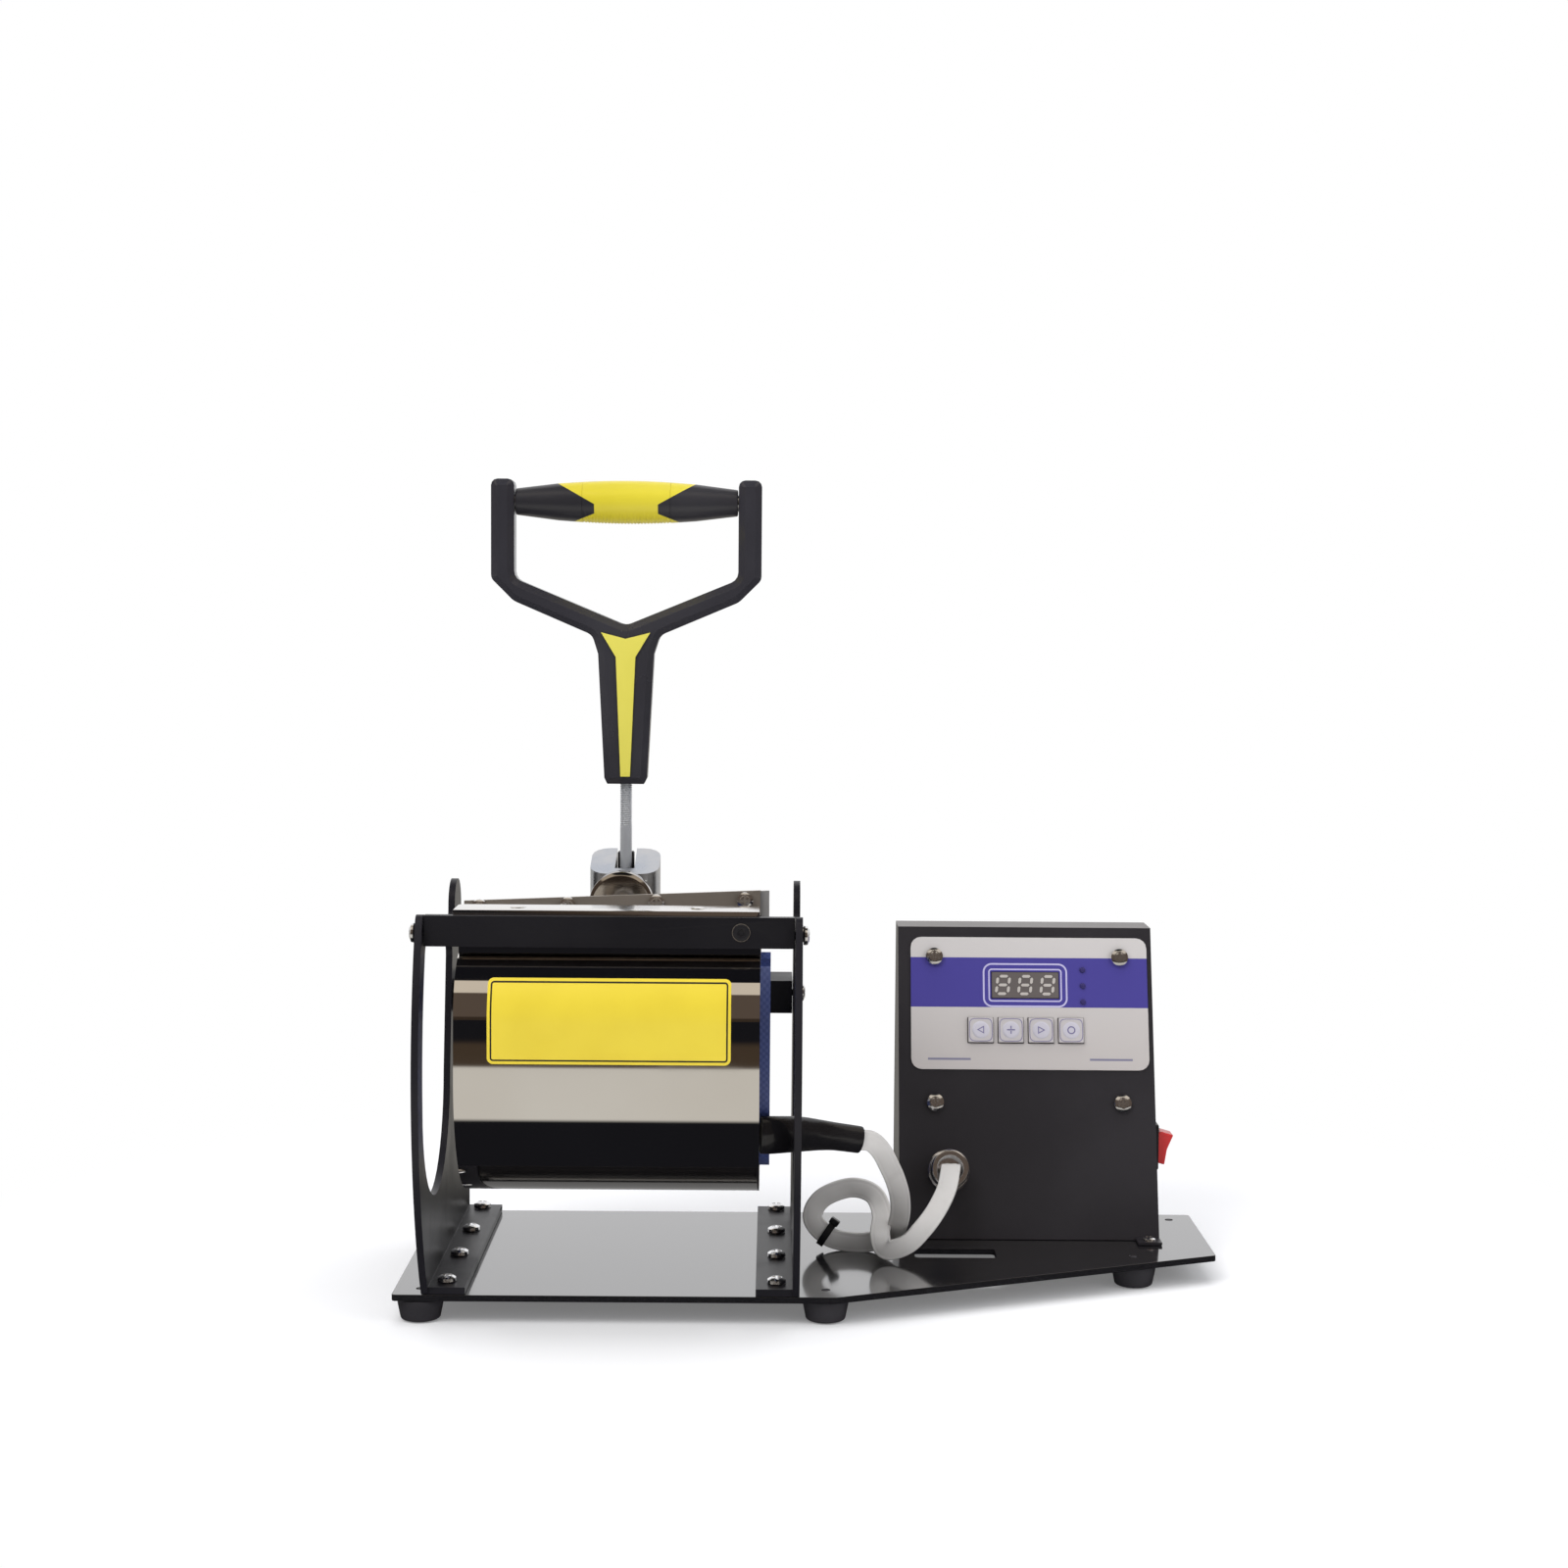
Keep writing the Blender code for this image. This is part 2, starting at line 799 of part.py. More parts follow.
smoke = ((0.03, 0.035, 0.05), 0.1, 0.0)
switch_red = ((0.6, 0.02, 0.01), 0.3, 0.0)
board_green = ((0.01, 0.15, 0.05), 0.5, 0.0)


# Base plate and feet
cut_slope = math.atan2(cut_depth, plate_width - front_run)
cut_start_x = plate_left + front_run


def cut_line_y(x):
    return plate_front + (x - cut_start_x) * math.tan(cut_slope)


def foot_places():
    right_x = plate_right - foot_right_reach
    middle = (cut_start_x - foot_front_back, plate_front + foot_cut_gap)
    return [
        (plate_left + foot_side_inset, plate_front + foot_end_inset),
        middle,
        (right_x, cut_line_y(right_x) + foot_cut_gap / math.cos(cut_slope)),
        (plate_left + foot_side_inset, plate_rear - foot_end_inset),
        (plate_right - foot_side_inset, plate_rear - foot_end_inset),
    ]


def flange_screw_places():
    pitch = (side_depth - flange_screw_first - flange_screw_last) / (flange_screw_count - 1)
    rows = [plate_front + flange_screw_first + pitch * row for row in range(flange_screw_count)]
    return [(x, y) for x in (side_left + flange_screw_inset, side_right - flange_screw_inset) for y in rows]


def tab_screw_places():
    # Middle of each tab at the foot of the control box
    y = box_foot_front - tab_reach / 2
    return [(box_left + tab_length / 2, y), (box_right - tab_length / 2, y)]


def base_plate():
    outline = rounded([
        (plate_left, plate_front, plate_corner),
        (cut_start_x, plate_front, 0),
        (plate_right, plate_front + cut_depth, plate_corner),
        (plate_right, plate_rear, plate_corner),
        (plate_left, plate_rear, plate_corner),
    ])
    slot_low = (box_left + slot_from_box, plate_front + slot_setback)
    slot_high = (slot_low[0] + slot_length, slot_low[1] + slot_depth)
    holes = [rounded_rectangle(slot_low, slot_high, plate_corner)]
    holes += [circle(spot, screw_shank + clearance) for spot in flange_screw_places()]
    holes += [circle(spot, foot_screw_shank + clearance) for spot in foot_places()]
    holes += [circle(spot, small_shank + clearance) for spot in tab_screw_places()]
    make("base_plate", [prism(outline, "Z", deck - plate_thickness, deck, holes)], deck_paint)


def feet():
    # Each foot is turned in one with the screw in its underside, which ends flush in the plate
    head = foot_recess - foot_screw_rise
    profile = [
        (0, head),
        (foot_screw_head, head),
        (foot_screw_head, foot_recess),
        (foot_recess_radius, foot_recess),
        (foot_recess_radius, 0),
        (foot_tip_radius, 0),
        (foot_radius, foot_height - foot_rim),
        (foot_radius, foot_height),
        (foot_screw_shank, foot_height),
        (foot_screw_shank, deck),
        (0, deck),
    ]
    for number, spot in enumerate(foot_places(), 1):
        make("rubber_foot_" + str(number), [turned(profile, "Z", spot, foot_steps)], rubber_black)


# Press frame
def bow_point(radius, height):
    # Point of a circle about the bow's centre at a height over the deck
    up = height - bow_centre_up
    return plate_front + bow_centre_back - math.sqrt(radius ** 2 - up ** 2), deck + height


def top_edge_height(setback):
    # The sloping top edge runs from the nose to the ledge
    share = (setback + nose_lean) / (ledge_setback + nose_lean)
    return nose_height + (ledge_height - nose_height) * share


def side_outline():
    arc_end = nose_height - 2 * nose_radius
    bow = [bow_point(bow_radius, arc_end * step / bow_steps) for step in range(bow_steps + 1)]
    tab_radius = tab_width / 2
    tab_rear = ledge_setback + tab_width
    tab_centre = (plate_front + ledge_setback + tab_radius, deck + tab_height - tab_radius)
    crest = rounded([
        (bow[-1][0], bow[-1][1], 0),
        (plate_front - nose_lean, deck + nose_height, nose_radius),
        (plate_front + ledge_setback, deck + ledge_height, ledge_radius),
        (plate_front + ledge_setback, tab_centre[1], 0),
    ])
    back = rounded([
        (plate_front + tab_rear, tab_centre[1], 0),
        (plate_front + tab_rear, deck + shoulder_height, shoulder_radius),
        (plate_front + side_depth, deck + heel_height, heel_radius),
        (plate_front + side_depth, deck, 0),
    ])
    lifted = [(y, z + clearance) for y, z in (bow[0], back[-1])]
    tab_arc = arc(tab_centre, tab_radius, math.pi, 0, tab_steps)
    return [lifted[0]] + bow[1:-1] + crest[:-1] + tab_arc + back[1:-1] + [lifted[1]]


def window_outline():
    inner = bow_radius - window_web
    waist_front = bow_point(inner, window_waist_height)
    waist_rear = plate_front + window_waist_setback
    radius = (waist_rear - waist_front[0]) / 2
    waist_centre = ((waist_rear + waist_front[0]) / 2, waist_front[1])
    bottom = arc(waist_centre, radius, math.pi, 2 * math.pi, waist_steps)
    rear_top = top_edge_height(window_top_setback) - window_strip
    front_height = nose_height
    for _ in range(window_rounds):
        front_setback = bow_point(inner, front_height)[0] - plate_front
        front_height = top_edge_height(front_setback) - window_strip
    arc_low = window_waist_height
    arc_high = front_height - 2 * window_corner
    drop = (arc_low - arc_high) / window_steps
    front = [bow_point(inner, arc_high + drop * step) for step in range(window_steps)]
    corners = rounded([
        (bottom[-1][0], bottom[-1][1], 0),
        (plate_front + window_top_setback, deck + rear_top, window_corner),
        (plate_front + front_setback, deck + front_height, window_corner),
        (front[0][0], front[0][1], 0),
    ])
    return bottom + corners[1:] + front[1:]


def bar_screw_places():
    front_rise = front_bar_height + front_bar_screw_rise
    return [
        (plate_front + front_bar_setback + front_bar_depth / 2, deck + front_rise),
        (plate_front + rear_bar_setback + rear_bar_depth / 2, deck + rear_bar_height + rear_bar_tall / 2),
        (plate_front + mid_bar_setback + mid_bar_depth / 2, deck + mid_bar_height + mid_bar_tall / 2),
    ]


def side_plates():
    holes = [window_outline()] + [circle(spot, small_shank + clearance) for spot in bar_screw_places()]
    rows = flange_screw_places()
    sides = (
        ("side_plate_left", side_left, 1, rows[:flange_screw_count]),
        ("side_plate_right", side_right, -1, rows[flange_screw_count:]),
    )
    for name, outer, inward, spots in sides:
        inner = outer + inward * side_thickness
        plate = make(name, [prism(side_outline(), "X", outer, inner, holes)], black_paint)
        low_x, high_x = sorted((outer, outer + inward * flange_width))
        flange = rectangle((low_x, plate_front), (high_x, plate_front + side_depth))
        flange_holes = [circle(spot, screw_shank + clearance) for spot in spots]
        foot = deck + clearance
        combine(plate, "UNION", [prism(flange, "Z", foot, foot + flange_thickness, flange_holes)])


def flange_screws():
    seat = deck + clearance + flange_thickness
    reach = flange_thickness + clearance + plate_thickness
    for number, spot in enumerate(flange_screw_places(), 1):
        screw = pan_screw("Z", spot, seat, 1, screw_head, screw_rise, screw_shank, reach)
        make("flange_screw_" + str(number), [screw], bright_screw)


def crossbars():
    # Each bar is one solid with the screws that hold it between the side plates
    left = inner_left + clearance
    right = inner_right - clearance
    bars = (
        ("front_crossbar", front_bar_setback, front_bar_depth, front_bar_height, front_bar_tall),
        ("rear_crossbar", rear_bar_setback, rear_bar_depth, rear_bar_height, rear_bar_tall),
        ("rear_mid_bar", mid_bar_setback, mid_bar_depth, mid_bar_height, mid_bar_tall),
    )
    reach = side_thickness + clearance + bar_screw_bite
    for (name, setback, depth, height, tall), spot in zip(bars, bar_screw_places()):
        low = (left, plate_front + setback, deck + height)
        high = (right, plate_front + setback + depth, deck + height + tall)
        bar = make(name, [block(low, high)], black_paint)
        combine(bar, "UNION", [
            pan_screw("X", spot, side_left, -1, screw_head, screw_rise, small_shank, reach),
            pan_screw("X", spot, side_right, 1, screw_head, screw_rise, small_shank, reach),
        ])
        if name == "front_crossbar":
            combine(bar, "DIFFERENCE", [socket_screw_hole(low[1], high[1])])
        if name == "rear_crossbar":
            bottom = rear_bar_top - bracket_screw_bite - clearance
            radius = small_shank + clearance
            combine(bar, "DIFFERENCE", [
                rod("Z", foot, radius, bottom, rear_bar_top + overrun) for foot in bracket_screw_places()
            ])


# Front lip strip: an angle whose upright leg is screwed behind the front crossbar
def socket_spot():
    return (inner_right - socket_inset, deck + socket_height)


def socket_screw_hole(front, rear):
    # Stepped hole through the front crossbar
    ledge = front + socket_head_depth + clearance
    head = socket_head + clearance
    shank = small_shank + clearance
    profile = [(0, front - overrun), (head, front - overrun), (head, ledge), (shank, ledge)]
    profile += [(shank, rear + overrun), (0, rear + overrun)]
    return turned(profile, "Y", socket_spot())


def strip_screw_places():
    left = inner_left + strip_left_inset
    y = plate_front + strip_screw_setback
    return [(left + strip_screw_inset, y), (left + strip_length - strip_screw_inset, y)]


def front_lip_strip():
    # One solid with its two rivets and the socket screw that holds its upright leg
    left = inner_left + strip_left_inset
    right = left + strip_length
    front = plate_front + strip_leg_setback
    low = deck + lip_top_height + clearance
    top = low + strip_thickness
    flat = rounded([
        (left, front, 0),
        (right, front, 0),
        (right, plate_front + strip_reach, strip_corner),
        (left, plate_front + strip_reach, strip_corner),
    ])
    strip = make("front_lip_strip", [prism(flat, "Z", low, top)], polished)
    leg = rectangle((left, deck + strip_leg_height), (right, top - strip_thickness / 2))
    combine(strip, "UNION", [prism(leg, "Y", front, front + strip_thickness)])
    reach = strip_thickness + clearance + sheet + screw_tip
    rise = strip_screw_rise + clearance
    combine(strip, "UNION", [
        pan_screw("Z", spot, top, 1, strip_screw_head, rise, small_shank, reach, sink)
        for spot in strip_screw_places()
    ])
    combine(strip, "UNION", [socket_screw()])


def socket_screw():
    # Sits in the front crossbar's stepped hole and ends inside the strip's upright leg
    front = plate_front + front_bar_setback
    ledge = front + socket_head_depth
    end = plate_front + strip_leg_setback + strip_thickness / 2
    profile = [
        (0, front + socket_head_depth / 2),
        (socket_hex, front + socket_head_depth / 2),
        (socket_hex, front),
        (socket_head, front),
        (socket_head, ledge),
        (small_shank, ledge),
        (small_shank, end),
        (0, end),
    ]
    return turned(profile, "Y", socket_spot())


# Heater wrap
def drum_point(radius, turn):
    return drum_y + radius * math.cos(turn), drum_z + radius * math.sin(turn)


def front_path():
    # Outer face of the front half, from the bottom seam up to the drop behind the lip
    seam = -math.pi / 2 - clearance / 2 / drum_radius
    round_part = arc((drum_y, drum_z), drum_radius, seam, -math.pi, drum_steps // 2)
    brow_centre = (drum_y - drum_radius + brow_radius, deck + flat_top_height)
    rise_y = plate_front + strip_leg_setback + strip_thickness + clearance
    sweep = math.acos((brow_centre[0] - rise_y) / brow_radius)
    brow = arc(brow_centre, brow_radius, math.pi, math.pi - sweep, brow_steps)
    lip = [
        (rise_y, deck + lip_top_height),
        (plate_front + lip_reach, deck + lip_top_height),
        (plate_front + lip_reach, deck + lip_drop_height),
    ]
    return round_part + brow + lip


def rear_path():
    # Outer face of the rear half, from the bottom seam back and up to the lip
    seam = -math.pi / 2 + clearance / 2 / drum_radius
    lip_turn = math.acos((rear_lip_back - drum_y) / drum_radius)
    round_part = arc((drum_y, drum_z), drum_radius, seam, lip_turn, drum_steps)
    return round_part + [(rear_lip_back, deck + clamp_left_top - clamp_edge)]


def lip_slope():
    return (clamp_right_top - clamp_left_top) / clamp_length


def slanted(solid, level, left):
    # Lifts the vertices at one level along the strip's slope
    vertices, faces = solid
    slope = lip_slope()
    lifted = [
        (x, y, z + (x - left) * slope) if abs(z - level) < clearance else (x, y, z)
        for x, y, z in vertices
    ]
    return lifted, faces


def sector(inner, outer, start, stop):
    outside = arc((drum_y, drum_z), outer, start, stop, drum_steps)
    inside = arc((drum_y, drum_z), inner, stop, start, drum_steps)
    return outside + inside


def clamp_screw_places():
    first = inner_left + clamp_left_inset + clamp_screw_end_inset
    span = clamp_length - 2 * clamp_screw_end_inset
    places = []
    for index in range(clamp_screw_count):
        share = index / (clamp_screw_count - 1)
        height = clamp_screw_left_height + (clamp_screw_right_height - clamp_screw_left_height) * share
        places.append((first + span * share, deck + height))
    return places


def wrap_shells(hinge):
    shell = sheet_outline(front_path(), -sheet)
    front = make("shell_front", [prism(shell, "X", wrap_left, wrap_right)], polished)
    radius = small_shank + clearance
    top = deck + lip_top_height
    combine(front, "DIFFERENCE", [
        rod("Z", spot, radius, top - sheet - overrun, top + overrun) for spot in strip_screw_places()
    ])
    level = deck + clamp_left_top - clamp_edge
    shell = prism(sheet_outline(rear_path(), sheet), "X", wrap_left, wrap_right)
    strip_left = inner_left + clamp_left_inset
    spot = tuple(hinge.location)
    rear = make("shell_rear", [slanted(shell, level, strip_left)], polished, spot, parent=hinge)
    combine(rear, "DIFFERENCE", [
        rod("Y", spot, clamp_screw_shank + clearance, rear_lip_front - overrun, rear_lip_back + overrun)
        for spot in clamp_screw_places()
    ])


def wrap_layers(hinge):
    spot = tuple(hinge.location)
    bottom = math.pi * 3 / 2
    felt_seam = clearance / felt_inner
    mat_seam = clearance / bore_radius
    felt_left = wrap_left + clearance
    felt_right = wrap_right - clearance
    felt = sector(felt_inner, felt_outer, front_felt_angle, bottom - felt_seam)
    make("insulation_front", [prism(felt, "X", felt_left, felt_right)], felt_white)
    felt = sector(felt_inner, felt_outer, felt_seam - math.pi / 2, rear_felt_angle)
    make("insulation_rear", [prism(felt, "X", felt_left, felt_right)], felt_white, spot, parent=hinge)
    mat = sector(bore_radius, mat_outer, front_mat_angle, bottom - mat_seam)
    make("heating_mat_front", [prism(mat, "X", wrap_left, mat_right)], mat_blue)
    mat = sector(bore_radius, mat_outer, mat_seam - math.pi / 2, rear_mat_angle)
    make("heating_mat_rear", [prism(mat, "X", wrap_left, mat_right)], mat_blue, spot, parent=hinge)


def clamp_plate_outline(left, right, foot, edge):
    # Upright plate with a slanted top
    start = inner_left + clamp_left_inset
    tops = [deck + clamp_left_top - edge + (x - start) * lip_slope() for x in (left, right)]
    return [(left, foot), (right, foot), (right, tops[1]), (left, tops[0])]


def clamp_parts(hinge):
    spot = tuple(hinge.location)
    left = inner_left + clamp_left_inset
    right = left + clamp_length
    strip_outline = clamp_plate_outline(left, right, deck + clamp_foot_height, 0)
    solid = prism(strip_outline, "Y", clamp_front, clamp_front + strip_thickness)
    strip = make("rear_clamp_strip", [solid], polished, spot, parent=hinge)
    reach = rear_lip_back - clamp_front + clamp_screw_tip
    rise = clamp_screw_rise + clearance
    combine(strip, "UNION", [
        pan_screw("Y", centre, clamp_front, -1, clamp_screw_head, rise, clamp_screw_shank, reach, sink)
        for centre in clamp_screw_places()
    ])
    holes = [circle(centre, clamp_screw_shank + clearance) for centre in clamp_screw_places()]
    gasket = clamp_plate_outline(wrap_left, right + gasket_overhang, deck + gasket_foot_height, clamp_edge)
    solid = prism(gasket, "Y", gasket_front, gasket_front + gasket_thickness, holes)
    make("lip_gasket", [solid], gasket_grey, spot, parent=hinge)


def label_plate():
    face = drum_y - drum_radius - clearance
    brow_centre = (drum_y - drum_radius + brow_radius, deck + flat_top_height)
    bend = math.asin((label_top_height - flat_top_height) / (brow_radius + clearance))
    curve = arc(brow_centre, brow_radius + clearance, math.pi, math.pi - bend, label_steps)
    inner = [(face, deck + label_foot_height)] + curve
    outline = sheet_outline(inner, label_thickness)
    left = inner_left + label_left_inset
    make("label_plate", [prism(outline, "X", left, left + label_width)], bright_yellow)


# Lever bracket
def bracket_top(y):
    slope = (bracket_rear_rise - bracket_front_rise) / bracket_depth
    return pivot_z + bracket_front_rise + (y - pivot_y + bracket_pivot_back) * slope


def bracket_screw_places():
    reach = bracket_width / 2 + bracket_foot_reach - bracket_screw_inset
    return [(press_x - reach, pivot_y - clearance), (press_x + reach, pivot_y - clearance)]


def sloped_column(low, high, radius, base, drop):
    # Upright rounded column whose top follows the bracket's sloping web
    vertices, faces = prism(rounded_rectangle(low, high, radius), "Z", base, pivot_z)
    vertices = [(x, y, z if z == base else bracket_top(y) - drop) for x, y, z in vertices]
    return vertices, faces


def lever_bracket():
    front = pivot_y - bracket_pivot_back
    half = bracket_width / 2
    low = (press_x - half, front)
    high = (press_x + half, front + bracket_depth)
    bracket = make("lever_bracket", [sloped_column(low, high, bracket_corner, bracket_base, 0)], zinc)
    inner_low = (low[0] + bracket_wall, low[1] + bracket_wall)
    inner_high = (high[0] - bracket_wall, high[1] - bracket_wall)
    web = bracket_wall
    combine(bracket, "DIFFERENCE", [
        sloped_column(inner_low, inner_high, bracket_corner - bracket_wall, bracket_base - overrun, web),
    ])
    seat = bracket_base + bracket_foot_thickness
    feet_solids = []
    for side, spot in zip((-1, 1), bracket_screw_places()):
        near = press_x + side * (half - bracket_wall / 2)
        far = press_x + side * (half + bracket_foot_reach)
        low_x, high_x = sorted((near, far))
        half_depth = bracket_foot_depth / 2
        outline = rectangle((low_x, spot[1] - half_depth), (high_x, spot[1] + half_depth))
        feet_solids.append(prism(outline, "Z", bracket_base, seat))
    combine(bracket, "UNION", feet_solids)
    half_opening = bracket_opening / 2
    opening = block(
        (press_x - half_opening, front - overrun, bracket_base - overrun),
        (press_x + half_opening, front + bracket_depth + overrun, pivot_z + bracket_opening_top),
    )
    half_slot = bracket_slot / 2
    slot = block(
        (press_x - half_slot, front + bracket_slot_start, pivot_z),
        (press_x + half_slot, front + bracket_depth + overrun, pivot_z + bracket_rear_rise + overrun),
    )
    combine(bracket, "DIFFERENCE", [opening])
    combine(bracket, "DIFFERENCE", [slot])
    pivot = (pivot_y, pivot_z)
    pin = rod("X", pivot, pivot_radius + clearance, low[0] - overrun, high[0] + overrun, pin_steps)
    combine(bracket, "DIFFERENCE", [pin])
    reach = bracket_foot_thickness + bracket_screw_bite
    combine(bracket, "UNION", [
        pan_screw("Z", spot, seat, 1, bracket_screw_head, bracket_screw_rise, small_shank, reach, sink)
        for spot in bracket_screw_places()
    ])


def headed_pin(name, centre, radius, head, head_thickness, half, look, origin, parent):
    # Pin along X with a flat head at each end
    inner = half + clearance
    outer = inner + head_thickness
    profile = [
        (0, press_x - outer), (head, press_x - outer), (head, press_x - inner), (radius, press_x - inner),
        (radius, press_x + inner), (head, press_x + inner), (head, press_x + outer), (0, press_x + outer),
    ]
    make(name, [turned(profile, "X", centre, pin_steps)], look, origin, parent=parent)


# Lever, link and pressure screw
def lever_hub(axis):
    pivot = (pivot_y, pivot_z)
    crank = (crank_y, crank_z)
    boss_top = pivot_z + rod_boss_rise
    points = circle(pivot, hub_radius, hub_steps) + circle(crank, crank_boss, hub_steps)
    points += [(pivot_y - rod_boss_half, boss_top), (pivot_y + rod_boss_half, boss_top)]
    outline = [points[index] for index in convex_hull_2d(points)]
    holes = [
        circle(pivot, pivot_radius + clearance, pin_steps),
        circle(crank, crank_radius + clearance, pin_steps),
    ]
    half = hub_width / 2
    solid = prism(outline, "X", press_x - half, press_x + half, holes)
    hub = make("lever_hub", [solid], zinc, tuple(axis.location), parent=axis)
    bottom = pivot_z + rod_start_rise - clearance
    combine(hub, "DIFFERENCE", [
        rod("Z", (press_x, pivot_y), rod_radius + clearance, bottom, boss_top + overrun, pin_steps),
    ])


def lever_rod(axis):
    start = pivot_z + rod_start_rise
    solid = rod("Z", (press_x, pivot_y), rod_radius, start, handle_base + rod_socket, pin_steps)
    make("lever_rod", [solid], zinc, tuple(axis.location), parent=axis)


def push_link(axis):
    half = link_width / 2
    inner = half - link_wall
    rear = crank_y + link_end
    web_rear = link_web_front + link_web
    outline = [
        (press_x - half, link_web_front), (press_x + half, link_web_front), (press_x + half, rear),
        (press_x + inner, rear), (press_x + inner, web_rear), (press_x - inner, web_rear),
        (press_x - inner, rear), (press_x - half, rear),
    ]
    low = crank_z - link_height / 2
    spot = tuple(parent_place(axis))
    link = make("push_link", [prism(outline, "Z", low, low + link_height)], zinc, spot, parent=axis)
    bore = thread_radius + clearance
    pin_bore = crank_radius + clearance
    left = press_x - half - overrun
    right = press_x + half + overrun
    combine(link, "DIFFERENCE", [
        rod("X", (crank_y, crank_z), pin_bore, left, right, pin_steps),
        rod("Y", (press_x, crank_z), bore, link_web_front - overrun, web_rear + overrun, pin_steps),
    ])


def pressure_parts(slide, axis):
    centre = (press_x, crank_z)
    pad_rear = pad_front + pad_thickness
    floor = pad_rear - pad_socket
    profile = [
        (0, pad_front),
        (pad_radius, pad_front),
        (pad_radius, pad_rear),
        (thread_radius + clearance, pad_rear),
        (thread_radius + clearance, floor),
        (0, floor),
    ]
    pad_spot = tuple(parent_place(slide))
    make("swivel_pad", [turned(profile, "Y", centre, pad_steps)], steel, pad_spot, parent=slide)
    screw_spot = tuple(parent_place(axis))
    tail = crank_y - thread_tail
    solid = rod("Y", centre, thread_radius, floor + clearance, tail, pin_steps)
    make("pressure_screw", [solid], steel, screw_spot, parent=axis)
    disc_rear = knob_rear - knob_hub_length
    disc_front = disc_rear - knob_thickness
    bore = thread_radius + clearance
    profile = [
        (bore, disc_front),
        (knob_radius - knob_edge, disc_front),
        (knob_radius, disc_front + knob_edge),
        (knob_radius, disc_rear - knob_edge),
        (knob_radius - knob_edge, disc_rear),
        (knob_hub_radius, disc_rear),
        (knob_hub_radius, knob_rear),
        (bore, knob_rear),
    ]
    disc = turned(profile, "Y", centre, disc_steps, ring=True)
    make("pressure_knob", [disc], polished, screw_spot, parent=axis)


# Lever handle
def mirrored(right_half):
    # Closed outline from its right half, which starts and ends on or beside the middle line
    left_half = [(-across, up, radius) for across, up, radius in reversed(right_half) if across > 0]
    return right_half + left_half


def handle_frame(axis):
    right_half = [
        (neck_tip_half, 0, 0),
        (neck_low_half, neck_tip_rise, 0),
        (neck_high_half, neck_rise, 0),
        (fork_half, fork_rise, fork_radius / 2),
        (elbow_half, elbow_rise, elbow_radius),
        (arm_half, arm_foot_rise, elbow_radius / 2),
        (arm_half, handle_rise, arm_top_radius),
        (arm_half - arm_width, handle_rise, arm_top_radius),
        (arm_half - arm_width, inner_elbow_rise, fork_radius / 2),
        (0, saddle_rise, saddle_radius),
    ]
    corners = [
        (press_x + across, handle_base + up, radius) for across, up, radius in mirrored(right_half)
    ]
    front = pivot_y - handle_depth / 2
    outline = rounded(corners, handle_steps)
    solid = chamfered_prism(outline, "Y", front, front + handle_depth, handle_chamfer)
    frame = make("handle_frame", [solid], handle_black, tuple(axis.location), parent=axis)
    core = arm_half - arm_width + grip_core_bite + clearance
    rod_end = handle_base + rod_socket + clearance
    combine(frame, "DIFFERENCE", [
        rod("Z", (press_x, pivot_y), rod_radius + clearance, handle_base - overrun, rod_end),
        rod("X", (pivot_y, grip_z), grip_core_radius + clearance, press_x - core, press_x + core),
    ])


def handle_inlay(axis):
    right_half = [
        (inlay_foot_half, inlay_foot_rise, 0),
        (inlay_waist_half, inlay_waist_rise, 0),
        (inlay_top_half, inlay_top_rise, 0),
        (0, inlay_notch_rise, 0),
    ]
    outline = [(press_x + across, handle_base + up) for across, up, _ in mirrored(right_half)]
    rear = pivot_y - handle_depth / 2 - clearance
    solid = prism(outline, "Y", rear - inlay_thickness, rear)
    make("handle_inlay", [solid], bright_yellow, tuple(axis.location), parent=axis)


def grip(axis):
    spot = tuple(axis.location)
    centre = (pivot_y, grip_z)
    inner = arm_half - arm_width
    core = inner + grip_core_bite
    bar = rod("X", centre, grip_core_radius, press_x - core, press_x + core, grip_steps)
    make("grip_core", [bar], steel, spot, parent=axis)
    bore = grip_core_radius + clearance
    end = inner - clearance
    half_profile = [
        (bore, end),
        (grip_end_radius, end),
        (grip_shoulder_radius, grip_shoulder_half),
        (grip_band_edge_radius, grip_band_half + clearance),
        (grip_groove_radius, grip_band_half + clearance),
    ]
    left = [(radius, press_x - along) for radius, along in half_profile]
    right = [(radius, press_x + along) for radius, along in reversed(half_profile)]
    sleeve = turned(left + right, "X", centre, grip_steps, ring=True)
    make("grip_sleeve", [sleeve], handle_black, spot, parent=axis)
    bore = grip_groove_radius + clearance
    flat_half = grip_band_half * grip_flat_share
    profile = [
        (bore, press_x - grip_band_half),
        (grip_band_edge_radius, press_x - grip_band_half),
        (grip_band_radius, press_x - flat_half),
        (grip_band_radius, press_x + flat_half),
        (grip_band_edge_radius, press_x + grip_band_half),
        (bore, press_x + grip_band_half),
    ]
    band = turned(profile, "X", centre, grip_steps, ring=True)
    make("grip_band", [band], bright_yellow, spot, parent=axis)


# Control box. Panel places are (across from the left edge, up the slanted face, out of it).
panel_turn = (math.pi / 2 - box_lean, 0, 0)


def panel_spot(across, up, out=0):
    y = box_foot_front + up * math.sin(box_lean) - out * math.cos(box_lean)
    z = box_base + up * math.cos(box_lean) + out * math.sin(box_lean)
    return box_left + across, y, z


def on_panel(name, solids, look, spot=(0, 0), parent=None):
    # The solids' own frame has X across, Y up the face and Z out of it
    return make(name, solids, look, panel_spot(*spot), panel_turn, parent)


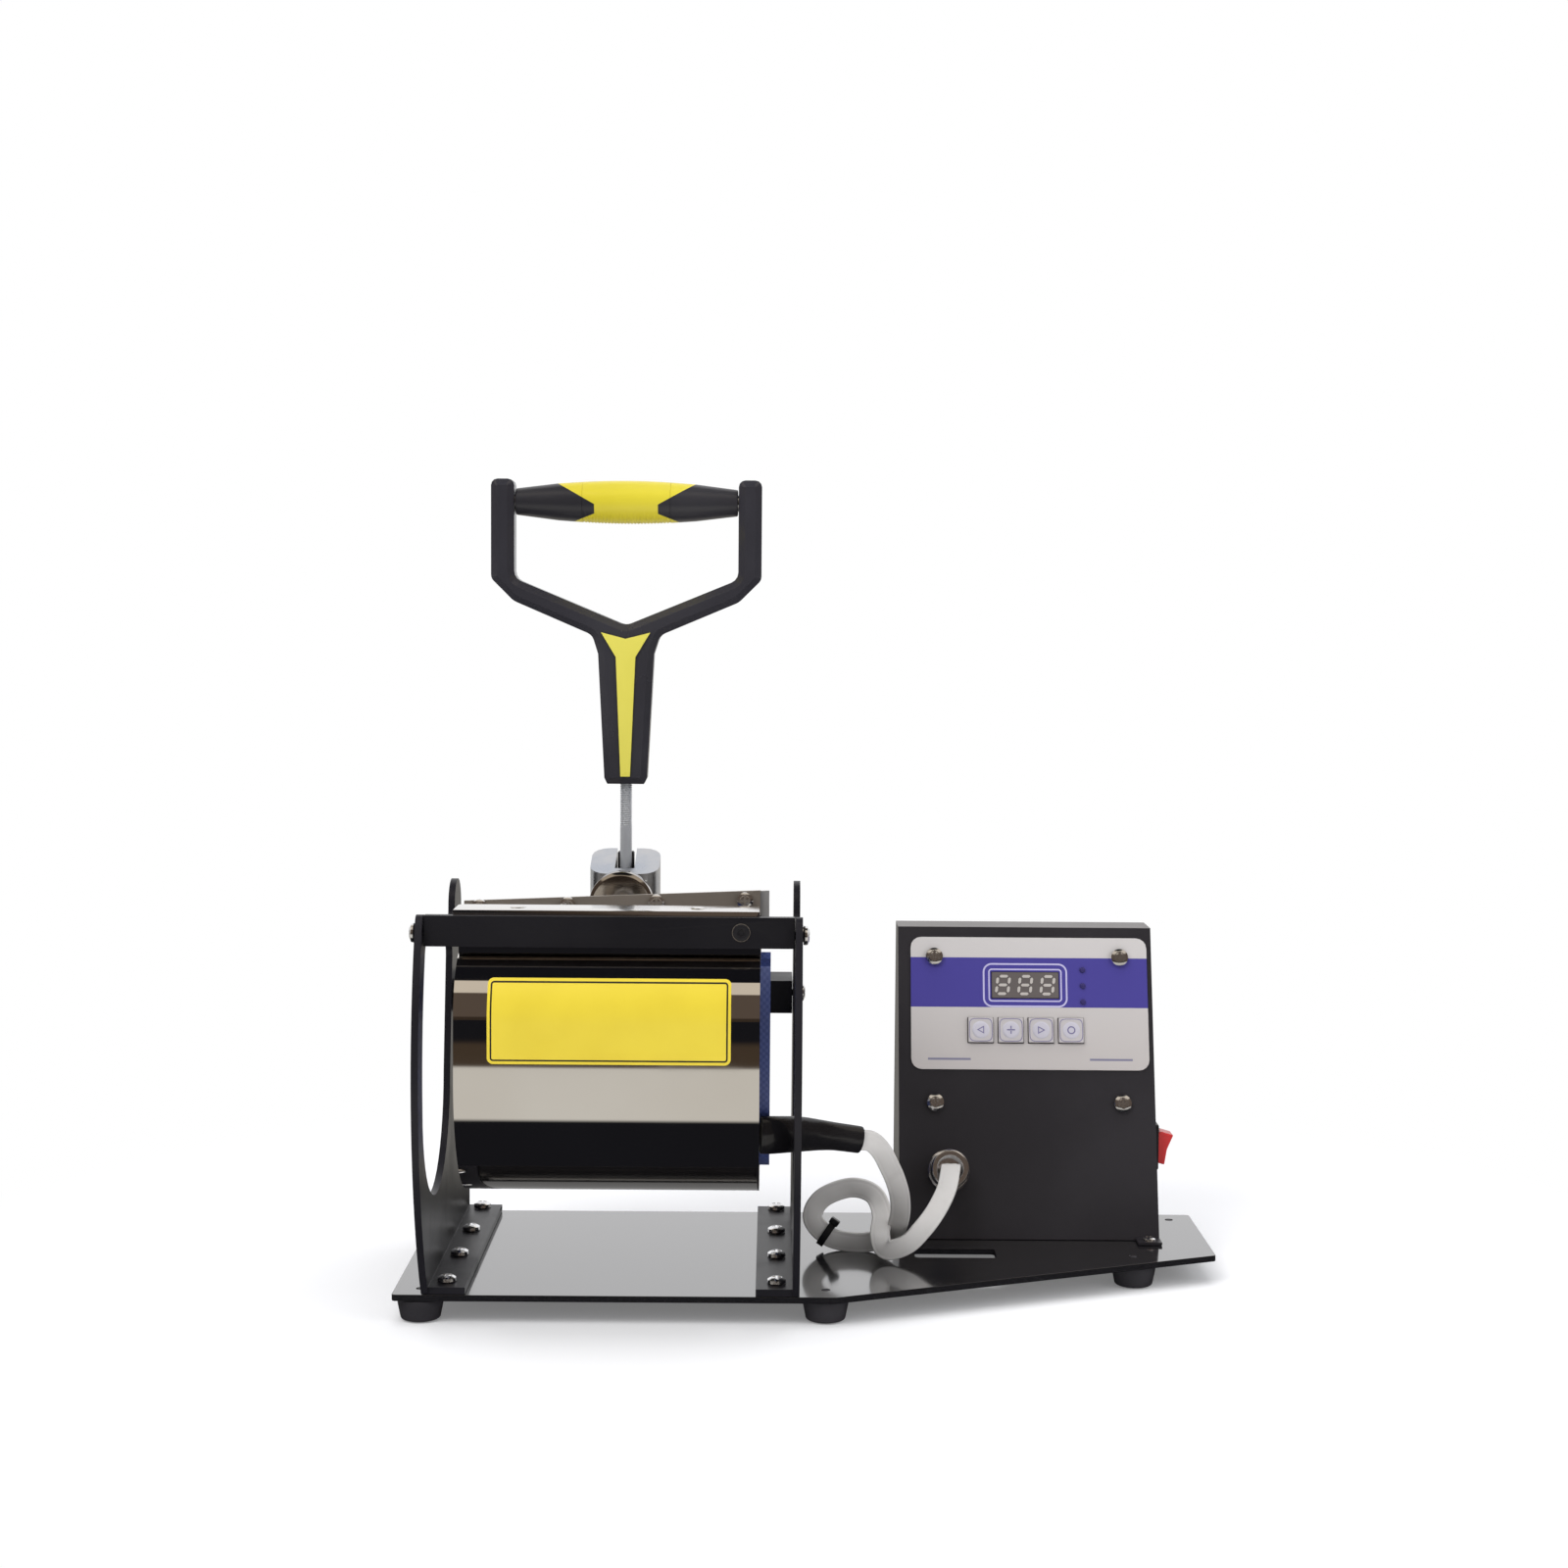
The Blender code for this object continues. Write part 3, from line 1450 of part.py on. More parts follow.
def box_profile(wall, rear):
    # Side view of the box, set in by the wall, with its rear at the given place
    front = [
        (box_foot_front, box_base),
        (box_foot_front + box_slant * math.sin(box_lean), box_top),
    ]
    outer = [front[0], (box_rear, box_base), (box_rear, box_top), front[1]]
    if wall == 0:
        return outer
    inner = inset(outer, wall)
    return [inner[0], (rear, inner[1][1]), (rear, inner[2][1]), inner[3]]


def panel_screw_places():
    columns = (panel_screw_left, box_width - panel_screw_right)
    return [(across, up) for up in (panel_screw_low, panel_screw_high) for across in columns]


def key_places():
    first = key_first_left + key_size / 2
    return [(first + key_pitch * key, key_low + key_size / 2) for key in range(key_count)]


def lamp_places():
    return [(lamp_from_left, lamp_low + lamp_pitch * lamp) for lamp in range(lamp_count)]


def cover_screw_places():
    low = box_base + cover_screw_inset
    high = box_top - cover_screw_inset
    columns = (box_left + cover_screw_inset, box_right - cover_screw_inset)
    return [(x, z) for x in columns for z in (low, high)]


def box_shell():
    outline = box_profile(0, box_rear)
    solid = prism(outline, "X", box_left, box_right)
    box = make("box_front", [solid], black_paint)
    lip_front = box_rear - box_wall - clearance - box_wall
    cavity = prism(box_profile(box_wall, lip_front), "X", box_left + box_wall, box_right - box_wall)
    combine(box, "DIFFERENCE", [cavity])
    ring = box_profile(cover_lip, box_rear + overrun)
    mouth = rectangle((box_left + cover_lip, ring[0][1]), (box_right - cover_lip, ring[2][1]))
    combine(box, "DIFFERENCE", [prism(mouth, "Y", lip_front - overrun, box_rear)])
    inner_low = (box_left + box_wall, box_base + box_wall)
    inner_high = (box_right - box_wall, box_top - box_wall)
    recess = prism(rectangle(inner_low, inner_high), "Y", lip_front + box_wall, box_rear + overrun)
    combine(box, "DIFFERENCE", [recess])
    combine(box, "DIFFERENCE", [
        rod("Y", spot, small_shank + clearance, lip_front - overrun, box_rear)
        for spot in cover_screw_places()
    ])
    low = -box_wall - overrun
    pane_low = (window_left + window_ledge, window_low + window_ledge)
    pane_high = (window_left + window_width - window_ledge, window_low + window_tall - window_ledge)
    cuts = [prism(rectangle(pane_low, pane_high), "Z", low, overrun)]
    cuts += [rod("Z", spot, small_shank + clearance, low, overrun) for spot in panel_screw_places()]
    cuts += [rod("Z", spot, key_stem + clearance, low, overrun) for spot in key_places()]
    cuts += [rod("Z", spot, lamp_radius + clearance, low, overrun, lamp_steps) for spot in lamp_places()]
    socket_spot = (socket_left, socket_up)
    cuts.append(rod("Z", socket_spot, socket_body + clearance, low, overrun, socket_steps))
    combine(box, "DIFFERENCE", cuts, (panel_spot(0, 0), panel_turn))
    tabs = box_tabs()
    combine(box, "UNION", tabs[::2])
    combine(box, "UNION", tabs[1::2])
    switch_hole = switch_body(clearance, box_right - box_wall - overrun, box_right + overrun)
    combine(box, "DIFFERENCE", [switch_hole])


def box_tabs():
    # Tabs bent forward from the box's foot, each one solid with its screw
    parts = []
    top = box_base + box_wall
    reach = box_wall + clearance + plate_thickness + screw_tip
    for x, y in tab_screw_places():
        half = tab_length / 2
        outline = rectangle((x - half, y - tab_reach / 2), (x + half, box_foot_front + box_wall))
        parts.append(prism(outline, "Z", box_base, top))
        parts.append(
            pan_screw("Z", (x, y), top, 1, tab_screw_head, tab_screw_rise, small_shank, reach, sink)
        )
    return parts


def rear_cover():
    # One solid with the four screws that hold it
    gap = box_wall + clearance
    outline = rectangle((box_left + gap, box_base + gap), (box_right - gap, box_top - gap))
    holes = [circle(spot, inlet_screw_shank + clearance) for spot in inlet_screw_places()]
    holes.append(inlet_outline(clearance))
    front = box_rear - box_wall
    cover = make("box_rear_cover", [prism(outline, "Y", front, box_rear, holes)], black_paint)
    reach = box_wall + clearance + box_wall + screw_tip
    combine(cover, "UNION", [
        pan_screw("Y", spot, box_rear, 1, cover_screw_head, cover_screw_rise, small_shank, reach, sink)
        for spot in cover_screw_places()
    ])


def panel_parts():
    low = clearance
    high = clearance + panel_sheet
    sheet_low = (panel_left, panel_low)
    sheet_high = (panel_left + panel_width, panel_high)
    window_high = (window_left + window_width, window_low + window_tall)
    holes = [rectangle((window_left, window_low), window_high)]
    holes += [square(spot, key_size / 2 + clearance) for spot in key_places()]
    holes += [circle(spot, lamp_radius + clearance, lamp_steps) for spot in lamp_places()]
    holes += [circle(spot, small_shank + clearance) for spot in panel_screw_places()[2:]]
    outline = rounded_rectangle(sheet_low, sheet_high, panel_corner)
    on_panel("panel_overlay", [prism(outline, "Z", low, high, holes)], panel_grey)
    pane_low = (window_left + clearance, window_low + clearance)
    pane_high = (window_high[0] - clearance, window_high[1] - clearance)
    pane = rectangle(pane_low, pane_high)
    on_panel("display_window", [prism(pane, "Z", low, low + pane_thickness)], smoke)
    control_board(high)


def control_board(panel_top):
    # One solid with the display block, the lamps and the four screws that hold it to the panel
    gap = window_ledge + clearance
    block_low = (window_left + gap, window_low + gap)
    block_high = (window_left + window_width - gap, window_low + window_tall - gap)
    front = -board_setback
    rear = front - board_thickness
    board_low = (panel_screw_left - board_margin, panel_screw_low - board_margin)
    board_high = (box_width - panel_screw_right + board_margin, panel_screw_high + board_margin / 2)
    sheet = rectangle(board_low, board_high)
    board = on_panel("control_board", [prism(sheet, "Z", rear, front)], board_green)
    middle = (front + rear) / 2
    parts = [prism(rectangle(block_low, block_high), "Z", middle, 0)]
    for spot in lamp_places():
        profile = [(0, middle), (lamp_radius, middle), (lamp_radius, panel_top), (0, panel_top + lamp_rise)]
        parts.append(turned(profile, "Z", spot, lamp_steps))
    for spot in panel_screw_places():
        seat = panel_top if spot[1] > panel_low else 0
        reach = seat + board_setback + board_thickness + board_screw_tip
        parts.append(pan_screw("Z", spot, seat, 1, panel_screw_head, panel_screw_rise, small_shank, reach))
    combine(board, "UNION", parts)


def square(centre, half):
    return rectangle((centre[0] - half, centre[1] - half), (centre[0] + half, centre[1] + half))


def keys():
    half = key_size / 2
    stem_end = -board_setback + key_travel + key_lift
    for number, spot in enumerate(key_places(), 1):
        cap = prism(square(home, half), "Z", key_lift, key_lift + key_thickness)
        name = "key_" + str(number)
        key = on_panel(name, [cap], panel_grey, spot)
        combine(key, "UNION", [rod("Z", home, key_stem, stem_end, key_lift + key_thickness / 2)])


# Socket and plug, turned about the panel's outward direction
def connector():
    spot = (socket_left, socket_up)
    ring_high = clearance + socket_ring_thickness
    profile = [
        (0, -socket_body_depth),
        (socket_body, -socket_body_depth),
        (socket_body, clearance),
        (socket_ring, clearance),
        (socket_ring, ring_high - plug_rim),
        (socket_ring - plug_rim, ring_high),
        (0, ring_high),
    ]
    on_panel("panel_socket", [turned(profile, "Z", home, connector_steps)], bright_screw, spot)
    low = ring_high + clearance
    high = low + plug_length
    profile = [
        (0, low),
        (plug_radius, low),
        (plug_radius, high - plug_rim),
        (plug_radius - plug_rim, high),
        (plug_bore, high),
        (plug_bore, low + plug_floor),
        (0, low + plug_floor),
    ]
    on_panel("cable_plug", [turned(profile, "Z", home, connector_steps)], bright_screw, spot)
    return low + plug_floor + clearance, high


# Rocker switch
def rocker_centre():
    return plate_front + rocker_setback, deck + rocker_height


def switch_body(gap, start, stop):
    y, z = rocker_centre()
    half_y = bezel_depth / 2 - switch_margin + gap
    half_z = bezel_tall / 2 - switch_margin + gap
    return prism(rectangle((y - half_y, z - half_z), (y + half_y, z + half_z)), "X", start, stop)


def rocker_switch():
    y, z = rocker_centre()
    face = box_right + clearance
    half_y = bezel_depth / 2
    half_z = bezel_tall / 2
    outline = rounded_rectangle((y - half_y, z - half_z), (y + half_y, z + half_z), switch_margin)
    bezel = make("rocker_bezel", [prism(outline, "X", face, face + bezel_rise)], rubber_black)
    combine(bezel, "UNION", [switch_body(0, box_right - switch_body_depth, face + bezel_rise / 2)])
    room_y = half_y - bezel_wall
    room_z = half_z - bezel_wall
    room = rectangle((y - room_y, z - room_z), (y + room_y, z + room_z))
    floor = box_right - switch_body_depth + switch_floor
    combine(bezel, "DIFFERENCE", [prism(room, "X", floor, face + bezel_rise + overrun)])
    pivot_x = box_right + rocker_pivot_out
    axis = joint("rocker_axis", (pivot_x, y, z))
    profile = [
        (-rocker_root, -rocker_half / 2),
        (0, -rocker_half),
        (rocker_rise, -rocker_half),
        (rocker_rise - rocker_dish, 0),
        (rocker_rise, rocker_half),
        (0, rocker_half),
        (-rocker_root, rocker_half / 2),
    ]
    cosine = math.cos(rocker_tilt)
    sine = math.sin(rocker_tilt)
    tipped = [(pivot_x + out * cosine + up * sine, z + up * cosine - out * sine) for out, up in profile]
    half_width = room_y - clearance
    solid = prism(tipped, "Y", y - half_width, y + half_width)
    make("rocker_button", [solid], switch_red, (pivot_x, y, z), parent=axis)


# Mains inlet on the rear cover, one solid with its pins and screws
def inlet_centre():
    return box_left + inlet_from_left, deck + inlet_height


def inlet_outline(gap):
    x, z = inlet_centre()
    half_x = inlet_body_width / 2 + gap
    half_z = inlet_body_tall / 2 + gap
    return rectangle((x - half_x, z - half_z), (x + half_x, z + half_z))


def inlet_screw_places():
    x, z = inlet_centre()
    reach = inlet_width / 2 - inlet_screw_inset
    return [(x - reach, z), (x + reach, z)]


def mains_inlet():
    x, z = inlet_centre()
    half_x = inlet_width / 2
    half_z = inlet_tall / 2
    front = box_rear + clearance
    rear = front + inlet_stand
    flange = rounded_rectangle((x - half_x, z - half_z), (x + half_x, z + half_z), inlet_corner)
    inlet = make("mains_inlet", [prism(flange, "Y", front, rear)], rubber_black)
    body_front = rear - inlet_body_depth
    combine(inlet, "UNION", [prism(inlet_outline(0), "Y", body_front, front + inlet_stand / 2)])
    room = inlet_outline(-inlet_wall)
    floor = body_front + inlet_wall
    combine(inlet, "DIFFERENCE", [prism(room, "Y", floor, rear + overrun)])
    pins = []
    rise = inlet_earth_drop / 2
    for across, up in ((-inlet_pin_spacing, rise), (inlet_pin_spacing, rise), (0, -rise)):
        low = (x + across - inlet_pin_width / 2, floor - inlet_wall / 2, z + up - inlet_pin_tall / 2)
        high = (x + across + inlet_pin_width / 2, floor + inlet_pin_length, z + up + inlet_pin_tall / 2)
        pins.append(block(low, high))
    reach = inlet_stand + clearance + box_wall + screw_tip
    sizes = (inlet_screw_head, inlet_screw_rise, inlet_screw_shank, reach, sink, fine_screw_steps)
    screws = [pan_screw("Y", spot, rear, 1, *sizes) for spot in inlet_screw_places()]
    combine(inlet, "UNION", pins + screws)


# Heater lead. The sleeve leaves the front half's right end and passes through the side plate's window.
def spread(points, count):
    # Smooth curve through the route's own points, read at equal steps of its chord length
    knots = [0.0]
    for before, after in zip(points, points[1:]):
        knots.append(knots[-1] + math.sqrt((after - before).length))
    dense = []
    last = len(points) - 1
    for index in range(last):
        ends = [points[max(index - 1, 0)], points[index], points[index + 1], points[min(index + 2, last)]]
        for step in range(route_steps):
            dense.append(catmull(ends, step / route_steps))
    dense.append(points[-1])
    lengths = [0.0]
    for before, after in zip(dense, dense[1:]):
        lengths.append(lengths[-1] + (after - before).length)
    result = []
    segment = 0
    for step in range(count):
        goal = lengths[-1] * step / (count - 1)
        while segment < len(dense) - 2 and lengths[segment + 1] < goal:
            segment += 1
        gap = lengths[segment + 1] - lengths[segment]
        result.append(dense[segment].lerp(dense[segment + 1], (goal - lengths[segment]) / gap))
    return result, lengths[-1]


def catmull(ends, t):
    a, b, c, d = ends
    squared = (a * 2 - b * 5 + c * 4 - d) * t ** 2
    cubed = (b * 3 - a - c * 3 + d) * t ** 3
    return (b * 2 + (c - a) * t + squared + cubed) / 2


# Route points of the sleeve and the cable, chosen by hand: X, distance behind the plate's front
# edge, height over the plate's top
sleeve_route = [
    (-0.0254, -0.0146, 0.0730), (-0.0205, -0.0138, 0.0728), (-0.0150, -0.0095, 0.0722),
    (-0.0095, -0.0040, 0.0712), (-0.0020, 0.0030, 0.0695), (0.0060, 0.0075, 0.0680),
    (0.0173, 0.0120, 0.0655),
]
sleeve_wide_shares = (0, 0, 0.1, 0.2, 0.6, 1, 1)
cable_route = [
    (0.0262, 0.0180, 0.0600), (0.0299, 0.0260, 0.0523), (0.0340, 0.0380, 0.0417),
    (0.0366, 0.0500, 0.0311), (0.0371, 0.0610, 0.0200), (0.0347, 0.0700, 0.0105), (0.0269, 0.0750, 0.0055),
    (0.0167, 0.0770, 0.0042), (0.0056, 0.0790, 0.0064), (-0.0016, 0.0810, 0.0143), (0.0028, 0.0820, 0.0232),
    (0.0157, 0.0810, 0.0285), (0.0258, 0.0770, 0.0264), (0.0295, 0.0700, 0.0190), (0.0285, 0.0630, 0.0112),
    (0.0310, 0.0580, 0.0058), (0.0402, 0.0580, 0.0082), (0.0480, 0.0630, 0.0145), (0.0545, 0.0700, 0.0215),
    (0.0595, 0.0790, 0.0290),
]
cable_count = 60
tie_share = 0.45      # where the tie sits along the cable


def route_vectors(route):
    return [Vector((x, plate_front + back, deck + up)) for x, back, up in route]


def cable_sleeve():
    points = route_vectors(sleeve_route)
    rings = []
    for index, point in enumerate(points):
        before = points[max(index - 1, 0)]
        after = points[min(index + 1, len(points) - 1)]
        along = (after - before).normalized()
        side = along.cross(Vector((0, 0, 1))).normalized()
        up = side.cross(along)
        share = sleeve_wide_shares[index]
        wide = sleeve_root_wide + (sleeve_end_wide - sleeve_root_wide) * share
        tall = sleeve_root_tall + (sleeve_end_tall - sleeve_root_tall) * share
        oval = circle(home, 1, sleeve_steps)
        rings.append([tuple(point + side * wide * across + up * tall * rise) for across, rise in oval])
    make("cable_sleeve", [loft(rings)], rubber_black)


def heater_cable(bore_start, bore_end):
    plug_spot = (socket_left, socket_up)
    before, mouth = route_vectors(sleeve_route)[-2:]
    along = (mouth - before).normalized()
    points = [mouth + along * clearance, mouth + along * cable_straight] + route_vectors(cable_route)
    ends = (bore_end + cable_radius, bore_end, bore_start)
    points += [Vector(panel_spot(*plug_spot, out)) for out in ends]
    places, length = spread(points, cable_count)
    curve = bpy.data.curves.new("heater_cable", "CURVE")
    curve.dimensions = "3D"
    curve.bevel_depth = cable_radius
    curve.bevel_resolution = 2
    curve.resolution_u = 1
    curve.use_fill_caps = True
    spline = curve.splines.new("POLY")
    spline.points.add(len(places) - 1)
    for point, spot in zip(spline.points, places):
        point.co = (*spot, 1)
    spline.use_smooth = True
    cable = bpy.data.objects.new("heater_cable", curve)
    cable.data.materials.append(finish("heater_cable", *cable_grey))
    bpy.context.scene.collection.objects.link(cable)
    print("heater cable length", round(length, 4), "least gap to itself", round(least_gap(places), 5))
    return places


def least_gap(places):
    # Smallest distance between the surfaces of stretches that aren't next to each other
    step = (places[1] - places[0]).length
    near = int(4 * cable_radius / step) + 2
    gaps = []
    for index, here in enumerate(places):
        gaps += [(there - here).length for there in places[index + near:]]
    return min(gaps) - 2 * cable_radius


def cable_tie(places):
    # A band round the cable, square to it
    index = int(tie_share * (len(places) - 1))
    along = (places[index + 1] - places[index - 1]).normalized()
    side = along.cross(Vector((0, 0, 1))).normalized()
    up = side.cross(along)
    rings = []
    inner = cable_radius + clearance
    half = tie_width / 2
    for radius, shift in ((inner, -half), (tie_radius, -half), (tie_radius, half), (inner, half)):
        oval = circle(home, 1, sleeve_steps)
        centre = places[index] + along * shift
        rings.append([tuple(centre + side * radius * across + up * radius * rise) for across, rise in oval])
    vertices = [point for ring in rings for point in ring]
    faces = []
    for ring in range(len(rings)):
        for step in range(sleeve_steps):
            after = (step + 1) % sleeve_steps
            low = ring * sleeve_steps
            high = (ring + 1) % len(rings) * sleeve_steps
            faces.append((low + step, low + after, high + after, high + step))
    make("cable_tie", [(vertices, faces)], rubber_black)


# Build everything
base_plate()
feet()
side_plates()
flange_screws()
crossbars()
front_lip_strip()
wrap_hinge = joint("wrap_hinge", (press_x, drum_y, drum_z - drum_radius))
wrap_shells(wrap_hinge)
wrap_layers(wrap_hinge)
clamp_parts(wrap_hinge)
label_plate()
lever_bracket()
pivot_sizes = (pivot_radius, pivot_head, pivot_head_thickness, bracket_width / 2)
headed_pin("pivot_pin", (pivot_y, pivot_z), *pivot_sizes, steel, home, None)
lever_axis = joint("lever_axis", (press_x, pivot_y, pivot_z))
lever_hub(lever_axis)
lever_rod(lever_axis)
handle_frame(lever_axis)
handle_inlay(lever_axis)
grip(lever_axis)
crank_sizes = (crank_radius, crank_head, crank_head_thickness, link_width / 2)
headed_pin("crank_pin", (crank_y, crank_z), *crank_sizes, steel, tuple(lever_axis.location), lever_axis)
link_axis = joint("link_axis", (press_x, crank_y, crank_z), lever_axis)
push_link(link_axis)
pad_slide = joint("pad_slide", (press_x, pad_front, crank_z), link_axis)
screw_axis = joint("screw_axis", (press_x, pad_front, crank_z), pad_slide)
pressure_parts(pad_slide, screw_axis)
box_shell()
rear_cover()
panel_parts()
keys()
bore_start, bore_end = connector()
rocker_switch()
mains_inlet()
cable_sleeve()
cable_tie(heater_cable(bore_start, bore_end))
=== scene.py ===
import json
import math

import bmesh
import bpy
import numpy as np
from mathutils import Matrix, Vector


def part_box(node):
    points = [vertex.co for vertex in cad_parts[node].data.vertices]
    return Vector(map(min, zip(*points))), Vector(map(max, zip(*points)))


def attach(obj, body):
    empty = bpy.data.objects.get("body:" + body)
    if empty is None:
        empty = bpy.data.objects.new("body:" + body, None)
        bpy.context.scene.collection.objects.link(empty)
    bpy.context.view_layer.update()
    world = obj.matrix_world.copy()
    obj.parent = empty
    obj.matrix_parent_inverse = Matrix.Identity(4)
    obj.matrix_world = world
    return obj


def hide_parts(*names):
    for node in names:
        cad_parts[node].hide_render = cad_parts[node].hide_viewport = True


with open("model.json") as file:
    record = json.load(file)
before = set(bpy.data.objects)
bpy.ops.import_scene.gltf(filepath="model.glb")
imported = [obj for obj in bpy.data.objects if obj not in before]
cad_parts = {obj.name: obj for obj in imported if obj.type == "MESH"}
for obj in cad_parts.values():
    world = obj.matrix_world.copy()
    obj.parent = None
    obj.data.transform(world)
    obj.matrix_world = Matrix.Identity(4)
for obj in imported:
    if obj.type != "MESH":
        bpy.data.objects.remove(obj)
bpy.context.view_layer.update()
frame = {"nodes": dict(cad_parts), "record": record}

nodes = frame["nodes"]
bodyOf = {}
for bodyName, members in frame["record"]["behaviour"]["bodies"].items():
    for member in members:
        bodyOf[member] = bodyName
scene = bpy.context.scene
scene.view_settings.view_transform = "Standard"


def tint(red, green, blue):
    # screen colour from 0 to 255 as linear light
    values = []
    for value in (red, green, blue):
        part = value / 255
        values.append(part / 12.92 if part <= 0.04045 else ((part + 0.055) / 1.055) ** 2.4)
    return (*values, 1.0)


def corners(box):
    return [np.array(corner) for corner in box]


# Camera, as the photograph was taken
print("camera")
cameraSet = {"place": (-0.0213, -1.1230, 0.3079), "lens": 57.8, "sensor": 36, "down": 4.14, "roll": 0.45,
             "right": 0.256, "near": 0.01}
cameraData = bpy.data.cameras.new("camera")
cameraData.lens = cameraSet["lens"]
cameraData.sensor_width = cameraSet["sensor"]
cameraData.clip_start = cameraSet["near"]
camera = bpy.data.objects.new("camera", cameraData)
scene.collection.objects.link(camera)
turn = Matrix.Rotation(math.radians(-cameraSet["right"]), 4, "Z")
turn = turn @ Matrix.Rotation(math.radians(90 - cameraSet["down"]), 4, "X")
turn = turn @ Matrix.Rotation(math.radians(cameraSet["roll"]), 4, "Z")
camera.matrix_world = Matrix.Translation(cameraSet["place"]) @ turn
scene.camera = camera


# The box's leaning front: its outward and upward directions, and points on it
panelSet = {"lean": 18, "left": 0.0392, "foot": 0.028414, "base": 0.0131}
lean = math.radians(panelSet["lean"])
panelOut = np.array((0, -math.cos(lean), math.sin(lean)))
panelUp = np.array((0, math.sin(lean), math.cos(lean)))


def panelSpot(across, up, out):
    corner = np.array((panelSet["left"] + across, panelSet["foot"], panelSet["base"]))
    return corner + panelUp * up + panelOut * out


# The lever's middle plane, its pivot and the heights of its grip and of the pressure screw
leverSet = {"x": -0.0888, "pivotY": 0.033694, "gripZ": 0.3526, "screwZ": 0.1725}


def maths(operation, reflected=False):
    # one operator: a Math node on the two operands, which the reflected form turns round
    def work(self, other=0.0):
        first, second = (other, self) if reflected else (self, other)
        return self.shader.node("ShaderNodeMath", {"operation": operation}, {0: first, 1: second})
    return work


# Shader maths: a socket that takes plain arithmetic
class Field:
    def __init__(self, shader, socket):
        self.shader = shader
        self.socket = socket

    __add__, __radd__ = maths("ADD"), maths("ADD", True)
    __sub__, __rsub__ = maths("SUBTRACT"), maths("SUBTRACT", True)
    __mul__, __rmul__ = maths("MULTIPLY"), maths("MULTIPLY", True)
    __truediv__, __gt__, __lt__ = maths("DIVIDE"), maths("GREATER_THAN"), maths("LESS_THAN")
    most, least = maths("MAXIMUM"), maths("MINIMUM")
    size, root, wave = maths("ABSOLUTE"), maths("SQRT"), maths("SINE")

    def ramp(self, low, high):
        # 0 below low, 1 above high, smooth between
        settings = {"interpolation_type": "SMOOTHSTEP"}
        return self.shader.node("ShaderNodeMapRange", settings, {"Value": self, "From Min": low,
                                                                 "From Max": high})


class Shader:
    def __init__(self, name, tree=None):
        if tree is None:
            self.material = bpy.data.materials.new(name)
            self.material.use_nodes = True
            tree = self.material.node_tree
        self.tree = tree
        self.tree.nodes.clear()

    def node(self, kind, settings=None, values=None, out=0):
        node = self.tree.nodes.new(kind)
        for key, value in (settings or {}).items():
            setattr(node, key, value)
        for key, value in (values or {}).items():
            if isinstance(value, Field):
                self.tree.links.new(value.socket, node.inputs[key])
            else:
                node.inputs[key].default_value = value
        return Field(self, node.outputs[out])

    def position(self, stretch=(1, 1, 1)):
        where = self.node("ShaderNodeTexCoord", out=3)
        return self.node("ShaderNodeVectorMath", {"operation": "MULTIPLY"}, {0: where, 1: stretch})

    def part(self, axis):
        where = self.node("ShaderNodeTexCoord", out=3)
        return self.node("ShaderNodeSeparateXYZ", None, {0: where}, out="XYZ".index(axis))

    def noise(self, scale, detail=3.0, stretch=(1, 1, 1), rough=0.5):
        values = {"Vector": self.position(stretch), "Scale": scale, "Detail": detail, "Roughness": rough}
        return self.node("ShaderNodeTexNoise", None, values)

    def mixed(self, share, first, second):
        return self.node("ShaderNodeMix", {"data_type": "RGBA"}, {0: share, 6: first, 7: second}, out=2)

    def bump(self, height, strength, distance):
        values = {"Height": height, "Strength": strength, "Distance": distance}
        return self.node("ShaderNodeBump", None, values)

    def surface(self, colour, rough, normal=None, **more):
        values = {"Base Color": colour, "Roughness": rough}
        if normal is not None:
            values["Normal"] = normal
        for key, value in more.items():
            values[key.replace("_", " ")] = value
        shader = self.node("ShaderNodeBsdfPrincipled", None, values)
        return self.finish(shader)

    def finish(self, shader):
        output = self.tree.nodes.new("ShaderNodeOutputMaterial")
        self.tree.links.new(shader.socket, output.inputs["Surface"])
        return self.material


# Materials
print("materials")


def worn(shader, colour, lighter, scale=14.0):
    # a base colour that drifts a little between two tones
    return shader.mixed(shader.noise(scale, 4.0).ramp(0.3, 0.7), colour, lighter)


def inside(field, low, high):
    return (field > low) * (field < high)


def frameDistance(across, up, halfX, halfZ, corner):
    # distance to a rounded rectangle, below 0 inside it. With q the point measured from the
    # corner's centre it is min(max(qx, qz), 0) + length(max(q, 0)) - corner
    x = across - (halfX - corner)
    z = up - (halfZ - corner)
    outX, outZ = x.most(0.0), z.most(0.0)
    return x.most(z).least(0.0) + (outX * outX + outZ * outZ).root() - corner


def coated(name, colour, lighter, rough, grain=2600.0, depth=0.25, index=1.45):
    # powder coat or moulded plastic: fine pebbled bump, drifting tone, faint rubbed patches
    shader = Shader(name)
    rubbed = shader.noise(30.0, 5.0).ramp(0.45, 0.75)
    bump = shader.bump(shader.noise(grain, 2.0), depth, 0.00012)
    tone = worn(shader, tint(*colour), tint(*lighter))
    return shader.surface(tone, rubbed * 0.09 + rough, bump, IOR=index)


def metal(name, colour, lighter, rough, stretch=(1, 1, 1), scale=260.0, depth=0.1, smear=0.05, share=1.0):
    # bright metal with fine lines along the unstretched axis and smudges
    shader = Shader(name)
    lines = shader.noise(scale, 3.0, stretch)
    smudge = shader.noise(22.0, 4.0).ramp(0.4, 0.8)
    bump = shader.bump(lines, depth, 0.00003)
    return shader.surface(worn(shader, colour, lighter, 9.0), smudge * smear + rough, bump, Metallic=share)


